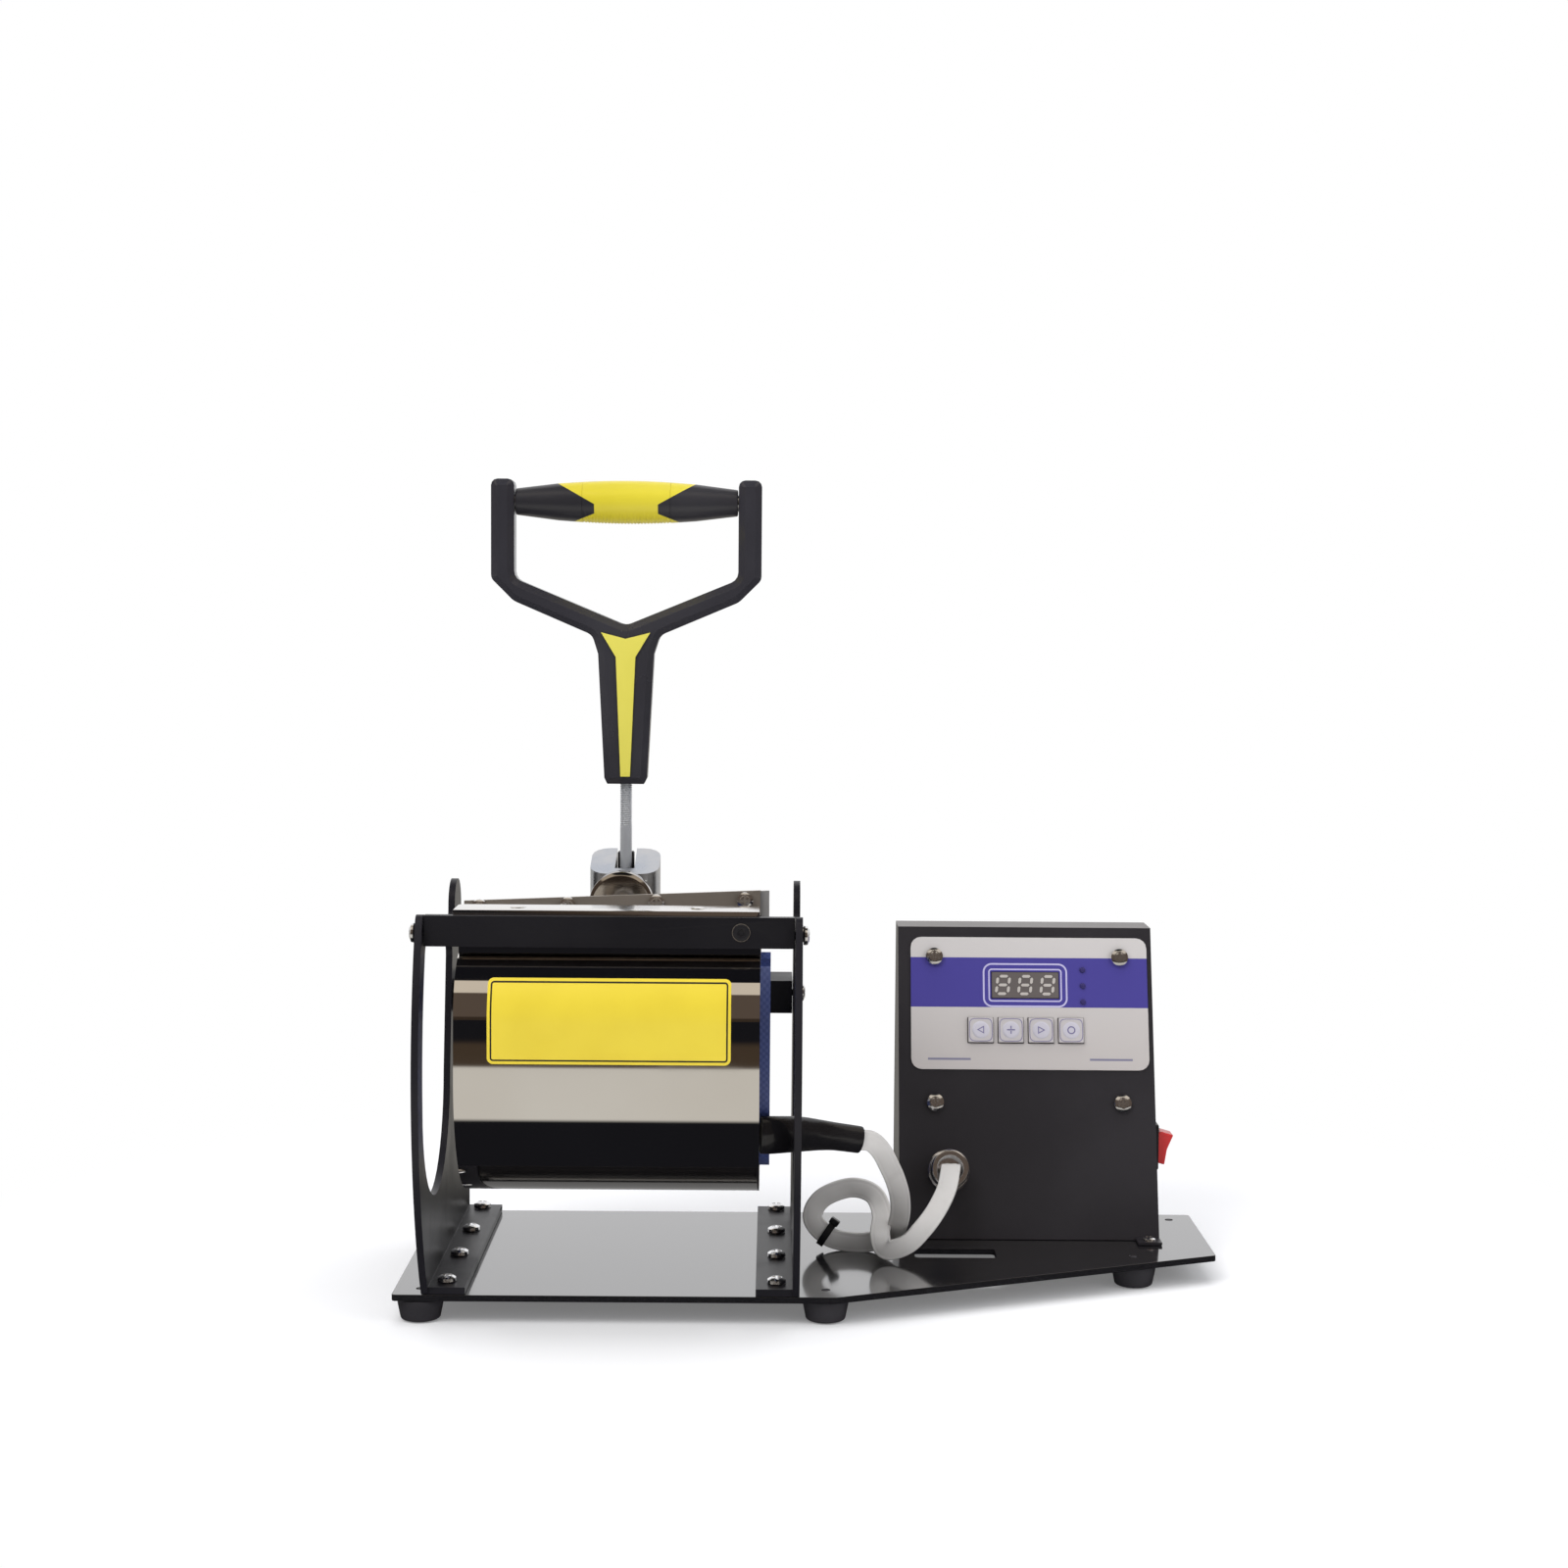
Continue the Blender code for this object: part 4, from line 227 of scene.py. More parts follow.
def deckPaint():
    # semi-gloss black deck with a slight orange peel and fine dust
    shader = Shader("deck_paint")
    peel = shader.noise(420.0, 2.0)
    dust = shader.noise(2400.0, 1.0).ramp(0.66, 0.8)
    colour = shader.mixed(dust * 0.2, tint(27, 26, 28), tint(110, 108, 108))
    bump = shader.bump(peel, 0.03, 0.0001)
    return shader.surface(colour, shader.noise(16.0, 4.0) * 0.06 + 0.1, bump, IOR=1.7, Coat_Weight=1.0,
                          Coat_Roughness=0.09)


def zincPlate():
    # blue zinc: cool grey with cloudy bluish and warmer areas
    shader = Shader("blue_zinc")
    cloud = shader.noise(60.0, 5.0).ramp(0.3, 0.7)
    colour = shader.mixed(cloud, tint(186, 191, 200), tint(214, 214, 216))
    scratches = shader.noise(300.0, 3.0, (1, 1, 9))
    return shader.surface(colour, cloud * 0.1 + 0.26, shader.bump(scratches, 0.12, 0.00004), Metallic=1.0)


def cableJacket():
    # pale jacket of a flat cable, with dull handling marks
    shader = Shader("cable_jacket")
    grime = shader.noise(70.0, 5.0).ramp(0.5, 0.85)
    colour = shader.mixed(grime * 0.35, tint(206, 203, 199), tint(168, 165, 158))
    return shader.surface(colour, grime * 0.15 + 0.42, shader.bump(shader.noise(900.0, 3.0), 0.12, 0.0001))


def shrunkSleeve():
    # glossy shrunk tube with lengthwise creases
    shader = Shader("shrunk_sleeve")
    crease = shader.noise(170.0, 3.0, (0.35, 1, 1.6))
    bump = shader.bump(crease, 0.5, 0.0006)
    return shader.surface(worn(shader, tint(20, 19, 21), tint(30, 29, 31)), shader.noise(50.0) * 0.15 + 0.16,
                          bump)


def feltLayer():
    shader = Shader("felt")
    fibres = shader.noise(1500.0, 6.0, (1, 3, 3))
    colour = shader.mixed(fibres, tint(190, 184, 170), tint(222, 217, 205))
    return shader.surface(colour, fibres * 0.1 + 0.85, shader.bump(fibres, 0.6, 0.0004))


def siliconeMat():
    # blue silicone with a woven print under the skin
    shader = Shader("blue_silicone")
    weave = (shader.part("X") * 2400.0).wave() * (shader.part("Z") * 2400.0).wave()
    colour = shader.mixed(weave.ramp(-1, 1), tint(58, 72, 128), tint(76, 90, 148))
    return shader.surface(colour, shader.noise(40.0) * 0.2 + 0.35, shader.bump(weave, 0.15, 0.0001))


def yellowSheet():
    # plain yellow sheet with a thin dark border line
    shader = Shader("yellow_sheet")
    low, high = corners(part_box("label_plate"))
    middle = (low + high) / 2
    across = (shader.part("X") - float(middle[0])).size()
    up = (shader.part("Z") - float(middle[2])).size()
    halfX = float(high[0] - low[0]) / 2
    halfZ = float(high[2] - low[2]) / 2
    edge = 0.0 - frameDistance(across, up, halfX, halfZ, 0.0026)
    line = inside(edge, 0.0012, 0.0019)
    base = worn(shader, tint(222, 199, 54), tint(216, 192, 49), 30.0)
    colour = shader.mixed(line, base, tint(30, 29, 28))
    return shader.surface(colour, shader.noise(90.0) * 0.1 + 0.28, shader.bump(shader.noise(1500.0), 0.05,
                                                                               0.0001))


def gripSkin():
    # grip: yellow middle; black ends with a short upright tip, slanting away above and below it
    shader = Shader("grip_skin")
    tipSet = {"half": 0.0146, "top": 0.0012, "foot": -0.0054, "rise": 1.78, "fall": 2.7, "above": 0.0183,
              "below": 0.0098}
    across = (shader.part("X") - leverSet["x"]).size()
    height = shader.part("Z") - leverSet["gripZ"]
    above = ((height + tipSet["top"]).most(0.0) * tipSet["rise"]).least(tipSet["above"])
    below = ((tipSet["foot"] - height).most(0.0) * tipSet["fall"]).least(tipSet["below"])
    yellow = (tipSet["half"] + above + below - across).ramp(0.0, 0.0003)
    grain = shader.noise(2200.0, 2.0)
    black = worn(shader, tint(40, 39, 43), tint(50, 49, 53))
    colour = shader.mixed(yellow, black, worn(shader, tint(204, 188, 42), tint(212, 197, 52)))
    return shader.surface(colour, shader.noise(40.0) * 0.1 + 0.26, shader.bump(grain, 0.12, 0.0001))


def panelFilm():
    # printed grey film: blue-violet field, thin lines and frames, no words
    filmSet = {"band": (0.47, 0.846), "inner": (0.0009, 0.0016), "outer": (0.0034, 0.0042),
               "rule": (0.072, 0.088),
               "left": (0.07, 0.25), "right": (0.75, 0.93)}
    shader = Shader("panel_film")
    low, high = corners(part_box("panel_overlay"))
    u = (shader.part("X") - float(low[0])) / float(high[0] - low[0])
    v = (shader.part("Z") - float(low[2])) / float(high[2] - low[2])
    # the grey runs lighter from the bottom of the film to its top
    base = shader.mixed(v, tint(181, 175, 172), tint(194, 190, 188))
    fine = shader.noise(1400.0, 2.0)
    band = inside(v, *filmSet["band"])
    inks = shader.mixed(band, base, tint(66, 59, 140))
    # light frame round the display: distance to its rectangle, kept between two values
    paneLow, paneHigh = corners(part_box("display_window"))
    middle = (paneLow + paneHigh) / 2
    size = (paneHigh - paneLow) / 2
    across = (shader.part("X") - float(middle[0])).size()
    rise = (shader.part("Z") - float(middle[2])).size() / math.cos(lean)
    away = frameDistance(across, rise, float(size[0]), float(size[2]) / math.cos(lean), 0.0001)
    frameLine = inside(away, *filmSet["inner"]) + inside(away, *filmSet["outer"])
    inks = shader.mixed(frameLine, inks, tint(182, 177, 210))
    rule = inside(v, *filmSet["rule"]) * (inside(u, *filmSet["left"]) + inside(u, *filmSet["right"]))
    inks = shader.mixed(rule, inks, tint(120, 118, 140))
    return shader.surface(inks, fine * 0.06 + 0.38, shader.bump(fine, 0.12, 0.00006))


def boxPaint():
    # black coat whose level top is painted lighter: dust, and painted light falling from above
    shader = Shader("box_coat_painted_top_light")
    # painted light: only the flat top face is mixed towards a pale grey, for light from above as well as dust
    top = shader.part("Z").ramp(0.15322, 0.15336)
    colour = shader.mixed(top, worn(shader, tint(38, 36, 40), tint(45, 43, 47)), tint(106, 102, 101))
    bump = shader.bump(shader.noise(2400.0, 2.0), 0.3, 0.00012)
    return shader.surface(colour, shader.noise(30.0, 5.0) * 0.09 + 0.36, bump)


def boardFace():
    # green board inside the box; bright metal where its screws stand out of the panel
    shader = Shader("board")
    out = shader.part("Y") * float(panelOut[1]) + shader.part("Z") * float(panelOut[2])
    level = float(panelSpot(0, 0, 0) @ panelOut)
    head = out.ramp(level - 0.0003, level - 0.0001)
    colour = shader.mixed(head, worn(shader, tint(32, 84, 54), tint(42, 98, 64)), (0.8, 0.8, 0.81, 1))
    bump = shader.bump(shader.noise(900.0), 0.1, 0.0001)
    return shader.surface(colour, shader.noise(40.0) * 0.1 + 0.22, bump, Metallic=head)


looks = {
    "coat": coated("black_powder_coat", (20, 19, 23), (27, 26, 30), 0.36, 1800.0, 0.35, 1.3),
    "sideCoat": coated("side_coat", (27, 26, 31), (35, 34, 39), 0.34, 1800.0, 0.35, 1.35),
    "boxCoat": boxPaint(),
    "deck": deckPaint(),
    "mirror": metal("mirror_steel", (0.86, 0.83, 0.79, 1), (0.92, 0.9, 0.87, 1), 0.035, (0.02, 1, 1), 420.0,
                    0.05, 0.03),
    "strip": metal("strip_steel", (0.8, 0.78, 0.75, 1), (0.88, 0.86, 0.84, 1), 0.1, (0.05, 1, 1), 700.0,
                   0.12),
    "zinc": zincPlate(),
    "screw": metal("bright_screw", (0.86, 0.86, 0.87, 1), (0.93, 0.93, 0.94, 1), 0.16),
    "steel": metal("turned_steel", (0.72, 0.73, 0.75, 1), (0.8, 0.81, 0.83, 1), 0.2, (1, 1, 0.05), 900.0,
                   0.15),
    "rod": metal("rod_steel", (0.5, 0.52, 0.55, 1), (0.6, 0.62, 0.65, 1), 0.36, (1, 1, 0.05), 900.0, 0.15,
                 0.05, 0.5),
    # painted reflection: the polished clamp strip gets a dull brown-grey, part-metal base that stands in for
    # the brown surroundings it mirrors
    "clamp": metal("clamp_painted_reflection", (0.3, 0.26, 0.22, 1), (0.4, 0.35, 0.3, 1), 0.34, (0.05, 1, 1), 700.0, 0.12,
                   0.05, 0.6),
    "knob": metal("dark_mirror", (0.42, 0.38, 0.34, 1), (0.5, 0.46, 0.42, 1), 0.11, (1, 0.1, 1), 500.0, 0.06),
    "rubber": coated("black_rubber", (44, 42, 46), (56, 54, 58), 0.55, 1500.0, 0.3),
    "handle": coated("handle_plastic", (46, 45, 50), (56, 55, 60), 0.2, 2200.0, 0.16),
    "dark": coated("dark_plastic", (24, 23, 26), (32, 31, 34), 0.32, 2000.0, 0.2),
    "inlay": coated("yellow_inlay", (212, 202, 78), (220, 210, 90), 0.26, 1600.0, 0.1),
    "gasket": coated("grey_silicone", (120, 118, 116), (140, 138, 136), 0.5, 1500.0, 0.3),
    "red": coated("red_plastic", (196, 40, 42), (206, 52, 52), 0.25, 1500.0, 0.1),
    "cable": cableJacket(),
    "sleeve": shrunkSleeve(),
    "felt": feltLayer(),
    "silicone": siliconeMat(),
    "label": yellowSheet(),
    "film": panelFilm(),
    "grip": gripSkin(),
    "keyFilm": coated("key_film", (180, 175, 175), (187, 182, 182), 0.4, 1400.0, 0.12),
    "keyDome": coated("key_dome", (184, 181, 190), (194, 191, 200), 0.14, 1400.0, 0.06),
    "pane": coated("smoked_pane", (94, 88, 86), (104, 98, 96), 0.16, 900.0, 0.05),
    "segment": coated("pale_segment", (176, 170, 164), (186, 180, 174), 0.35, 900.0, 0.05),
    "print": coated("blue_grey_print", (112, 106, 142), (122, 116, 150), 0.4, 900.0, 0.05),
    "lamp": coated("unlit_lamp", (48, 42, 92), (56, 50, 102), 0.2, 900.0, 0.05),
    "board": boardFace(),
}


# Mesh helpers
def addPiece(name, vertices, faces, look, body, stands=(), sharp=35.0):
    # one closed or open mesh from points and faces, merged, with its normals outward
    mesh = bpy.data.meshes.new(name)
    mesh.from_pydata(np.asarray(vertices, float).tolist(), [], [list(face) for face in faces])
    work = bmesh.new()
    work.from_mesh(mesh)
    bmesh.ops.remove_doubles(work, verts=work.verts, dist=0.0000005)
    bmesh.ops.dissolve_degenerate(work, edges=work.edges, dist=0.0000005)
    bmesh.ops.recalc_face_normals(work, faces=work.faces)
    work.to_mesh(mesh)
    work.free()
    return placed(name, mesh, look, body, stands, sharp)


def placed(name, mesh, look, body, stands, sharp=35.0):
    mesh.materials.clear()
    mesh.materials.append(looks[look])
    mesh.polygons.foreach_set("use_smooth", np.ones(len(mesh.polygons), bool))
    mesh.set_sharp_from_angle(angle=math.radians(sharp))
    piece = bpy.data.objects.new(name, mesh)
    scene.collection.objects.link(piece)
    if stands:
        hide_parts(*stands)
    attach(piece, body)
    return piece


def gridFaces(rows, columns, closed=True):
    # quads of a grid of rows by columns; the columns close on themselves
    row, column = np.meshgrid(np.arange(rows - 1), np.arange(columns if closed else columns - 1),
                              indexing="ij")
    after = (column + 1) % columns
    quads = [row * columns + column, row * columns + after, (row + 1) * columns + after,
             (row + 1) * columns + column]
    return np.stack(quads, axis=-1).reshape(-1, 4)


axisFrames = {
    "X": np.array([(1, 0, 0), (0, 1, 0), (0, 0, 1)], float),
    "Y": np.array([(0, 1, 0), (0, 0, 1), (1, 0, 0)], float),
    "Z": np.array([(0, 0, 1), (1, 0, 0), (0, 1, 0)], float),
}
axisFrames["out"] = np.array([panelOut, (1, 0, 0), panelUp], float)
axisFrames["-X"] = axisFrames["X"] * -1.0
axisFrames["-Y"] = np.array([(0, -1, 0), (1, 0, 0), (0, 0, 1)], float)


def rounded(profile, radius, steps=4):
    # corners of an open profile replaced by short quarter curves: each is a quadratic blend of
    # the points just before, at and after the corner
    points = [np.array(point, float) for point in profile]
    result = [points[0]]
    for before, corner, after in zip(points, points[1:], points[2:]):
        back = before - corner
        ahead = after - corner
        reach = min(radius, np.linalg.norm(back) / 2, np.linalg.norm(ahead) / 2)
        start = corner + back / max(np.linalg.norm(back), 1e-9) * reach
        end = corner + ahead / max(np.linalg.norm(ahead), 1e-9) * reach
        for step in range(steps + 1):
            t = step / steps
            result.append(start * (1 - t) ** 2 + corner * 2 * t * (1 - t) + end * t ** 2)
    result.append(points[-1])
    return result


def turnedPiece(name, profile, centre, axis, look, body, stands=(), segments=72, edge=0.0003, ripple=None):
    # surface of revolution: each profile point (along, radius) swept round the axis
    along, side, up = axisFrames[axis]
    line = np.array(rounded(profile, edge))
    angle = np.linspace(0, 2 * math.pi, segments, endpoint=False)
    radius = line[:, 1][:, None] * np.ones(segments)
    if ripple is not None:
        radius = radius + ripple(line[:, 0][:, None], angle[None, :]) * (line[:, 1][:, None] > 0)
    points = np.asarray(centre, float) + line[:, 0][:, None, None] * along
    points = points + (radius * np.cos(angle))[..., None] * side + (radius * np.sin(angle))[..., None] * up
    faces = gridFaces(len(line), segments)
    return addPiece(name, points.reshape(-1, 3), faces, look, body, stands)


crossSet = {"rings": 22, "segments": 64, "slot": 0.3, "drop": 0.55, "curve": 2.6, "deep": 0.62}


def crossScrew(name, centre, axis, radius, rise, body):
    # domed head on a polar grid: the height rise * (1 - drop * share ** curve), less a cross-shaped recess
    along, side, up = axisFrames[axis]
    rings, segments, slot = crossSet["rings"], crossSet["segments"], crossSet["slot"]
    share = np.linspace(0, 1, rings)[:, None]
    angle = np.linspace(0, 2 * math.pi, segments, endpoint=False)[None, :]
    x = share * np.cos(angle)
    y = share * np.sin(angle)
    dome = rise * (1 - crossSet["drop"] * share ** crossSet["curve"]) * np.where(share < 1, 1, 0)
    arm = np.maximum(
        np.clip((slot * 0.42 - np.abs(x)) * 14, 0, 1) * np.clip((slot * 2 - np.abs(y)) * 6, 0, 1),
        np.clip((slot * 0.42 - np.abs(y)) * 14, 0, 1) * np.clip((slot * 2 - np.abs(x)) * 6, 0, 1),
    )
    height = dome - arm * rise * crossSet["deep"] * (1 - share * 0.6)
    height[-1] = -rise * 0.05
    points = np.asarray(centre, float) + height[..., None] * along
    points = points + (x * radius)[..., None] * side + (y * radius)[..., None] * up
    return addPiece(name, points.reshape(-1, 3), gridFaces(rings, segments), "screw", body, (), 40.0)


def headPlaces(node, direction, level, keep=None, reach=0.009):
    # centres, radii and tops of the heads that stand past a plane on a CAD node
    points = np.empty(len(nodes[node].data.vertices) * 3)
    nodes[node].data.vertices.foreach_get("co", points)
    points = points.reshape(-1, 3)
    height = points @ direction
    chosen = points[height > level]
    if keep is not None:
        chosen = chosen[keep(chosen)]
    found = []
    while len(chosen):
        near = np.linalg.norm(chosen - chosen[0], axis=1) < reach
        group = chosen[near]
        middle = (group.min(axis=0) + group.max(axis=0)) / 2
        flat = group - middle
        flat = flat - np.outer(flat @ direction, direction)
        found.append((middle, float(np.linalg.norm(flat, axis=1).max()), float((group @ direction).max())))
        chosen = chosen[~near]
    return found


def topHeads(name, node, axis, level, rise, body, keep=None):
    # a cross-recessed dome over each head of a node that stands past a plane
    direction = axisFrames[axis][0]
    for number, (middle, radius, top) in enumerate(headPlaces(node, direction, level, keep), 1):
        seat = middle + direction * (top - rise * 0.9 - middle @ direction)
        crossScrew(name + "_" + str(number), seat, axis, radius * 1.02, rise, body)


def roundedLoop(halfX, halfY, corner, steps):
    # rounded rectangle: each corner's centre plus corner times (cos, sin) over its quarter turn
    loop = []
    for quarter, (signX, signY) in enumerate(((1, 1), (-1, 1), (-1, -1), (1, -1))):
        for step in range(steps + 1):
            swing = math.pi / 2 * (quarter + step / steps)
            x = signX * (halfX - corner) + corner * math.cos(swing)
            loop.append((x, signY * (halfY - corner) + corner * math.sin(swing)))
    return np.array(loop)


def joinedForm(node, flat):
    # a CAD node's loose triangles joined, and its faces within that many degrees merged
    work = bmesh.new()
    work.from_mesh(nodes[node].data)
    bmesh.ops.remove_doubles(work, verts=work.verts, dist=0.000002)
    bmesh.ops.dissolve_limit(work, angle_limit=math.radians(flat), verts=work.verts, edges=work.edges)
    return work


cornerSet = {"along": 0.999, "least": 15, "most": 80, "room": 1.5, "steps": 8}


def roundCorners(work, corner):
    # edges along Y between two wide faces become arcs
    wide = []
    for edge in work.edges:
        along = edge.verts[1].co - edge.verts[0].co
        if len(edge.link_faces) == 2 and abs(along.y) > cornerSet["along"] * along.length:
            turned = math.degrees(edge.calc_face_angle(0.0))
            least = min(face.calc_area() for face in edge.link_faces) / along.length
            if cornerSet["least"] < turned < cornerSet["most"] and least > corner * cornerSet["room"]:
                wide.append(edge)
    bmesh.ops.bevel(work, geom=wide, offset=corner, offset_type="OFFSET", segments=cornerSet["steps"],
                    profile=0.5,
                    affect="EDGES", clamp_overlap=True)


def softened(node, look, width=0.0004, sharp=30.0, segments=3, angle=40.0, corner=0.0):
    # a CAD node's own form with its loose faces joined and its edges broken
    mesh = bpy.data.meshes.new(node + "_form")
    work = joinedForm(node, 0.6)
    bmesh.ops.recalc_face_normals(work, faces=work.faces)
    if corner:
        roundCorners(work, corner)
    work.to_mesh(mesh)
    work.free()
    piece = placed(node + "_form", mesh, look, bodyOf[node], (node,), sharp)
    bevel = piece.modifiers.new("edges", "BEVEL")
    bevel.width = width
    bevel.segments = segments
    bevel.limit_method = "ANGLE"
    bevel.angle_limit = math.radians(angle)
    bevel.harden_normals = True
    bevel.use_clamp_overlap = True
    return piece


# two points lie on one circle where their radii agree within same; an arc turns by least to most
sheetSet = {"flat": 0.5, "same": 0.00003, "least": 0.02, "most": 0.45, "steps": 6}


def fineSheet(node, look, centre, width=0.0001):
    # a CAD prism along X whose round stretches get points on the true circle round the centre
    work = joinedForm(node, sheetSet["flat"])
    caps = []
    for sign in (-1, 1):
        flat = [face for face in work.faces if face.normal.x * sign > 0.99]
        face = max(flat, key=lambda each: each.calc_area())
        caps.append(np.array([tuple(loop.vert.co) for loop in face.loops]))
    work.free()
    left, right = caps[0], caps[1][::-1]
    if len(left) != len(right):
        return softened(node, look, width)
    lined = [np.roll(right, -shift, axis=0) for shift in range(len(right))]
    right = min(lined, key=lambda each: np.abs(each[:, 1:] - left[:, 1:]).sum())
    rows = [[], []]
    count = len(left)
    for index in range(count):
        after = (index + 1) % count
        arms = [left[index][1:] - centre, left[after][1:] - centre]
        radii = [np.linalg.norm(arm) for arm in arms]
        angles = [math.atan2(arm[1], arm[0]) for arm in arms]
        swing = (angles[1] - angles[0] + math.pi) % (2 * math.pi) - math.pi
        same = abs(radii[0] - radii[1]) < sheetSet["same"]
        arc = same and sheetSet["least"] < abs(swing) < sheetSet["most"]
        steps = sheetSet["steps"] if arc else 1
        for step in range(steps):
            share = step / steps
            for side, loop in enumerate((left, right)):
                spot = loop[index] * (1 - share) + loop[after] * share
                if steps > 1:
                    radius = radii[0] * (1 - share) + radii[1] * share
                    angle = angles[0] + swing * share
                    spot = np.array((loop[index][0], centre[0] + radius * math.cos(angle),
                                     centre[1] + radius * math.sin(angle)))
                rows[side].append(spot)
    total = len(rows[0])
    points = np.concatenate([np.array(rows[0]), np.array(rows[1])])
    faces = gridFaces(2, total).tolist() + [list(range(total)), list(range(total, 2 * total))]
    return addPiece(node + "_form", points, faces, look, bodyOf[node], (node,), 32.0)


# Heater cable: a flat jacket along the CAD route
print("cable")
cableSet = {"width": 0.0090, "thick": 0.0030, "straight": 0.0052, "gap": 0.0003, "steps": 260, "ring": 40,
            "square": 0.45, "groove": 0.16, "grooves": 6, "level": 205, "turn": 25, "smooth": 15}
cableRoute = np.array([
    (26.2, -52.606, 72.8), (29.9, -44.606, 65.1), (34, -32.606, 54.5), (36.6, -20.606, 43.9),
    (37.1, -9.606, 32.8),
    (34.7, -0.606, 23.3), (26.9, 4.394, 18.3), (16.7, 6.394, 17.0), (5.6, 8.394, 19.2), (-1.6, 10.394, 27.1),
    (2.8, 11.394, 36.0), (15.7, 10.394, 41.3), (25.8, 6.394, 39.2), (29.5, -0.606, 31.8),
    (28.5, -7.606, 24.0),
    (31, -12.606, 18.6), (40.2, -12.606, 21.0), (48, -7.606, 27.3), (54.5, -0.606, 34.3), (59.5, 8.394, 41.8),
    (62.1, 21.823, 48.152), (62.1, 24.866, 47.163), (62.1, 32.665, 44.629),
]) / 1000
sleeveMouth = np.array((0.0173, -0.058606, 0.0783))
sleeveLine = sleeveMouth - np.array((0.006, -0.063106, 0.0808))
sleeveLine = sleeveLine / np.linalg.norm(sleeveLine)


def spread(points, count):
    # Catmull-Rom curve through the route's points, read at equal steps of its own length
    dense = []
    for index in range(len(points) - 1):
        a, b = points[max(index - 1, 0)], points[index]
        c, d = points[index + 1], points[min(index + 2, len(points) - 1)]
        t = (np.arange(24) / 24)[:, None]
        squared = (a * 2 - b * 5 + c * 4 - d) * t ** 2
        cubed = (b * 3 - a - c * 3 + d) * t ** 3
        dense.append((b * 2 + (c - a) * t + squared + cubed) / 2)
    dense = np.concatenate(dense + [points[-1:]])
    lengths = np.concatenate([[0], np.cumsum(np.linalg.norm(np.diff(dense, axis=0), axis=1))])
    goals = np.linspace(0, lengths[-1], count)
    line = np.stack([np.interp(goals, lengths, dense[:, axis]) for axis in range(3)], axis=1)
    return line, float(lengths[-1])


def unit(vectors):
    return vectors / np.linalg.norm(vectors, axis=-1, keepdims=True)


startPoints = [sleeveMouth + sleeveLine * cableSet["gap"], sleeveMouth + sleeveLine * cableSet["straight"]]
cableLine, cableLength = spread(np.concatenate([startPoints, cableRoute]), cableSet["steps"])
tangent = unit(np.gradient(cableLine, axis=0))
# the flat side faces the front, and turns level where the cable runs into its plug
flatSide = np.cross(tangent, (0, 1, 0))
for index in range(1, len(flatSide)):
    if flatSide[index] @ flatSide[index - 1] < 0:
        flatSide[index] *= -1
last = np.array((1.0, 0, 0)) * np.sign(flatSide[200][0] or 1)
blend = np.clip((np.arange(len(cableLine)) - cableSet["level"]) / cableSet["turn"], 0, 1)[:, None]
flatSide = unit(flatSide) * (1 - blend) + last * blend
kernel = np.ones(cableSet["smooth"]) / cableSet["smooth"]
reach = cableSet["smooth"] // 2
padded = np.pad(flatSide, ((reach, reach), (0, 0)), mode="edge")
flatSide = np.stack([np.convolve(padded[:, axis], kernel, mode="valid") for axis in range(3)], axis=1)
flatSide = unit(flatSide - tangent * (flatSide * tangent).sum(axis=1, keepdims=True))
flatUp = np.cross(tangent, flatSide)
ring = np.linspace(0, 2 * math.pi, cableSet["ring"], endpoint=False)
# section: a superellipse, whose cosine and sine are raised to a power, with shallow ribs on its flats
ringX = np.sign(np.cos(ring)) * np.abs(np.cos(ring)) ** cableSet["square"] * cableSet["width"] / 2
ringY = np.sign(np.sin(ring)) * np.abs(np.sin(ring)) ** cableSet["square"] * cableSet["thick"] / 2
rib = np.cos(ringX / cableSet["width"] * cableSet["grooves"] * math.pi)
ringY = ringY * (1 - cableSet["groove"] * (1 + rib) / 2)
section = ringX[None, :, None] * flatSide[:, None, :] + ringY[None, :, None] * flatUp[:, None, :]
cablePoints = (cableLine[:, None, :] + section).reshape(-1, 3)
cableFaces = gridFaces(len(cableLine), cableSet["ring"]).tolist()
cableFaces += [list(range(cableSet["ring"])), list(range(len(cablePoints) - cableSet["ring"],
                                                         len(cablePoints)))]
cable = addPiece("heater_cable_form", cablePoints, cableFaces, "cable", "press", ("heater_cable",), 60.0)


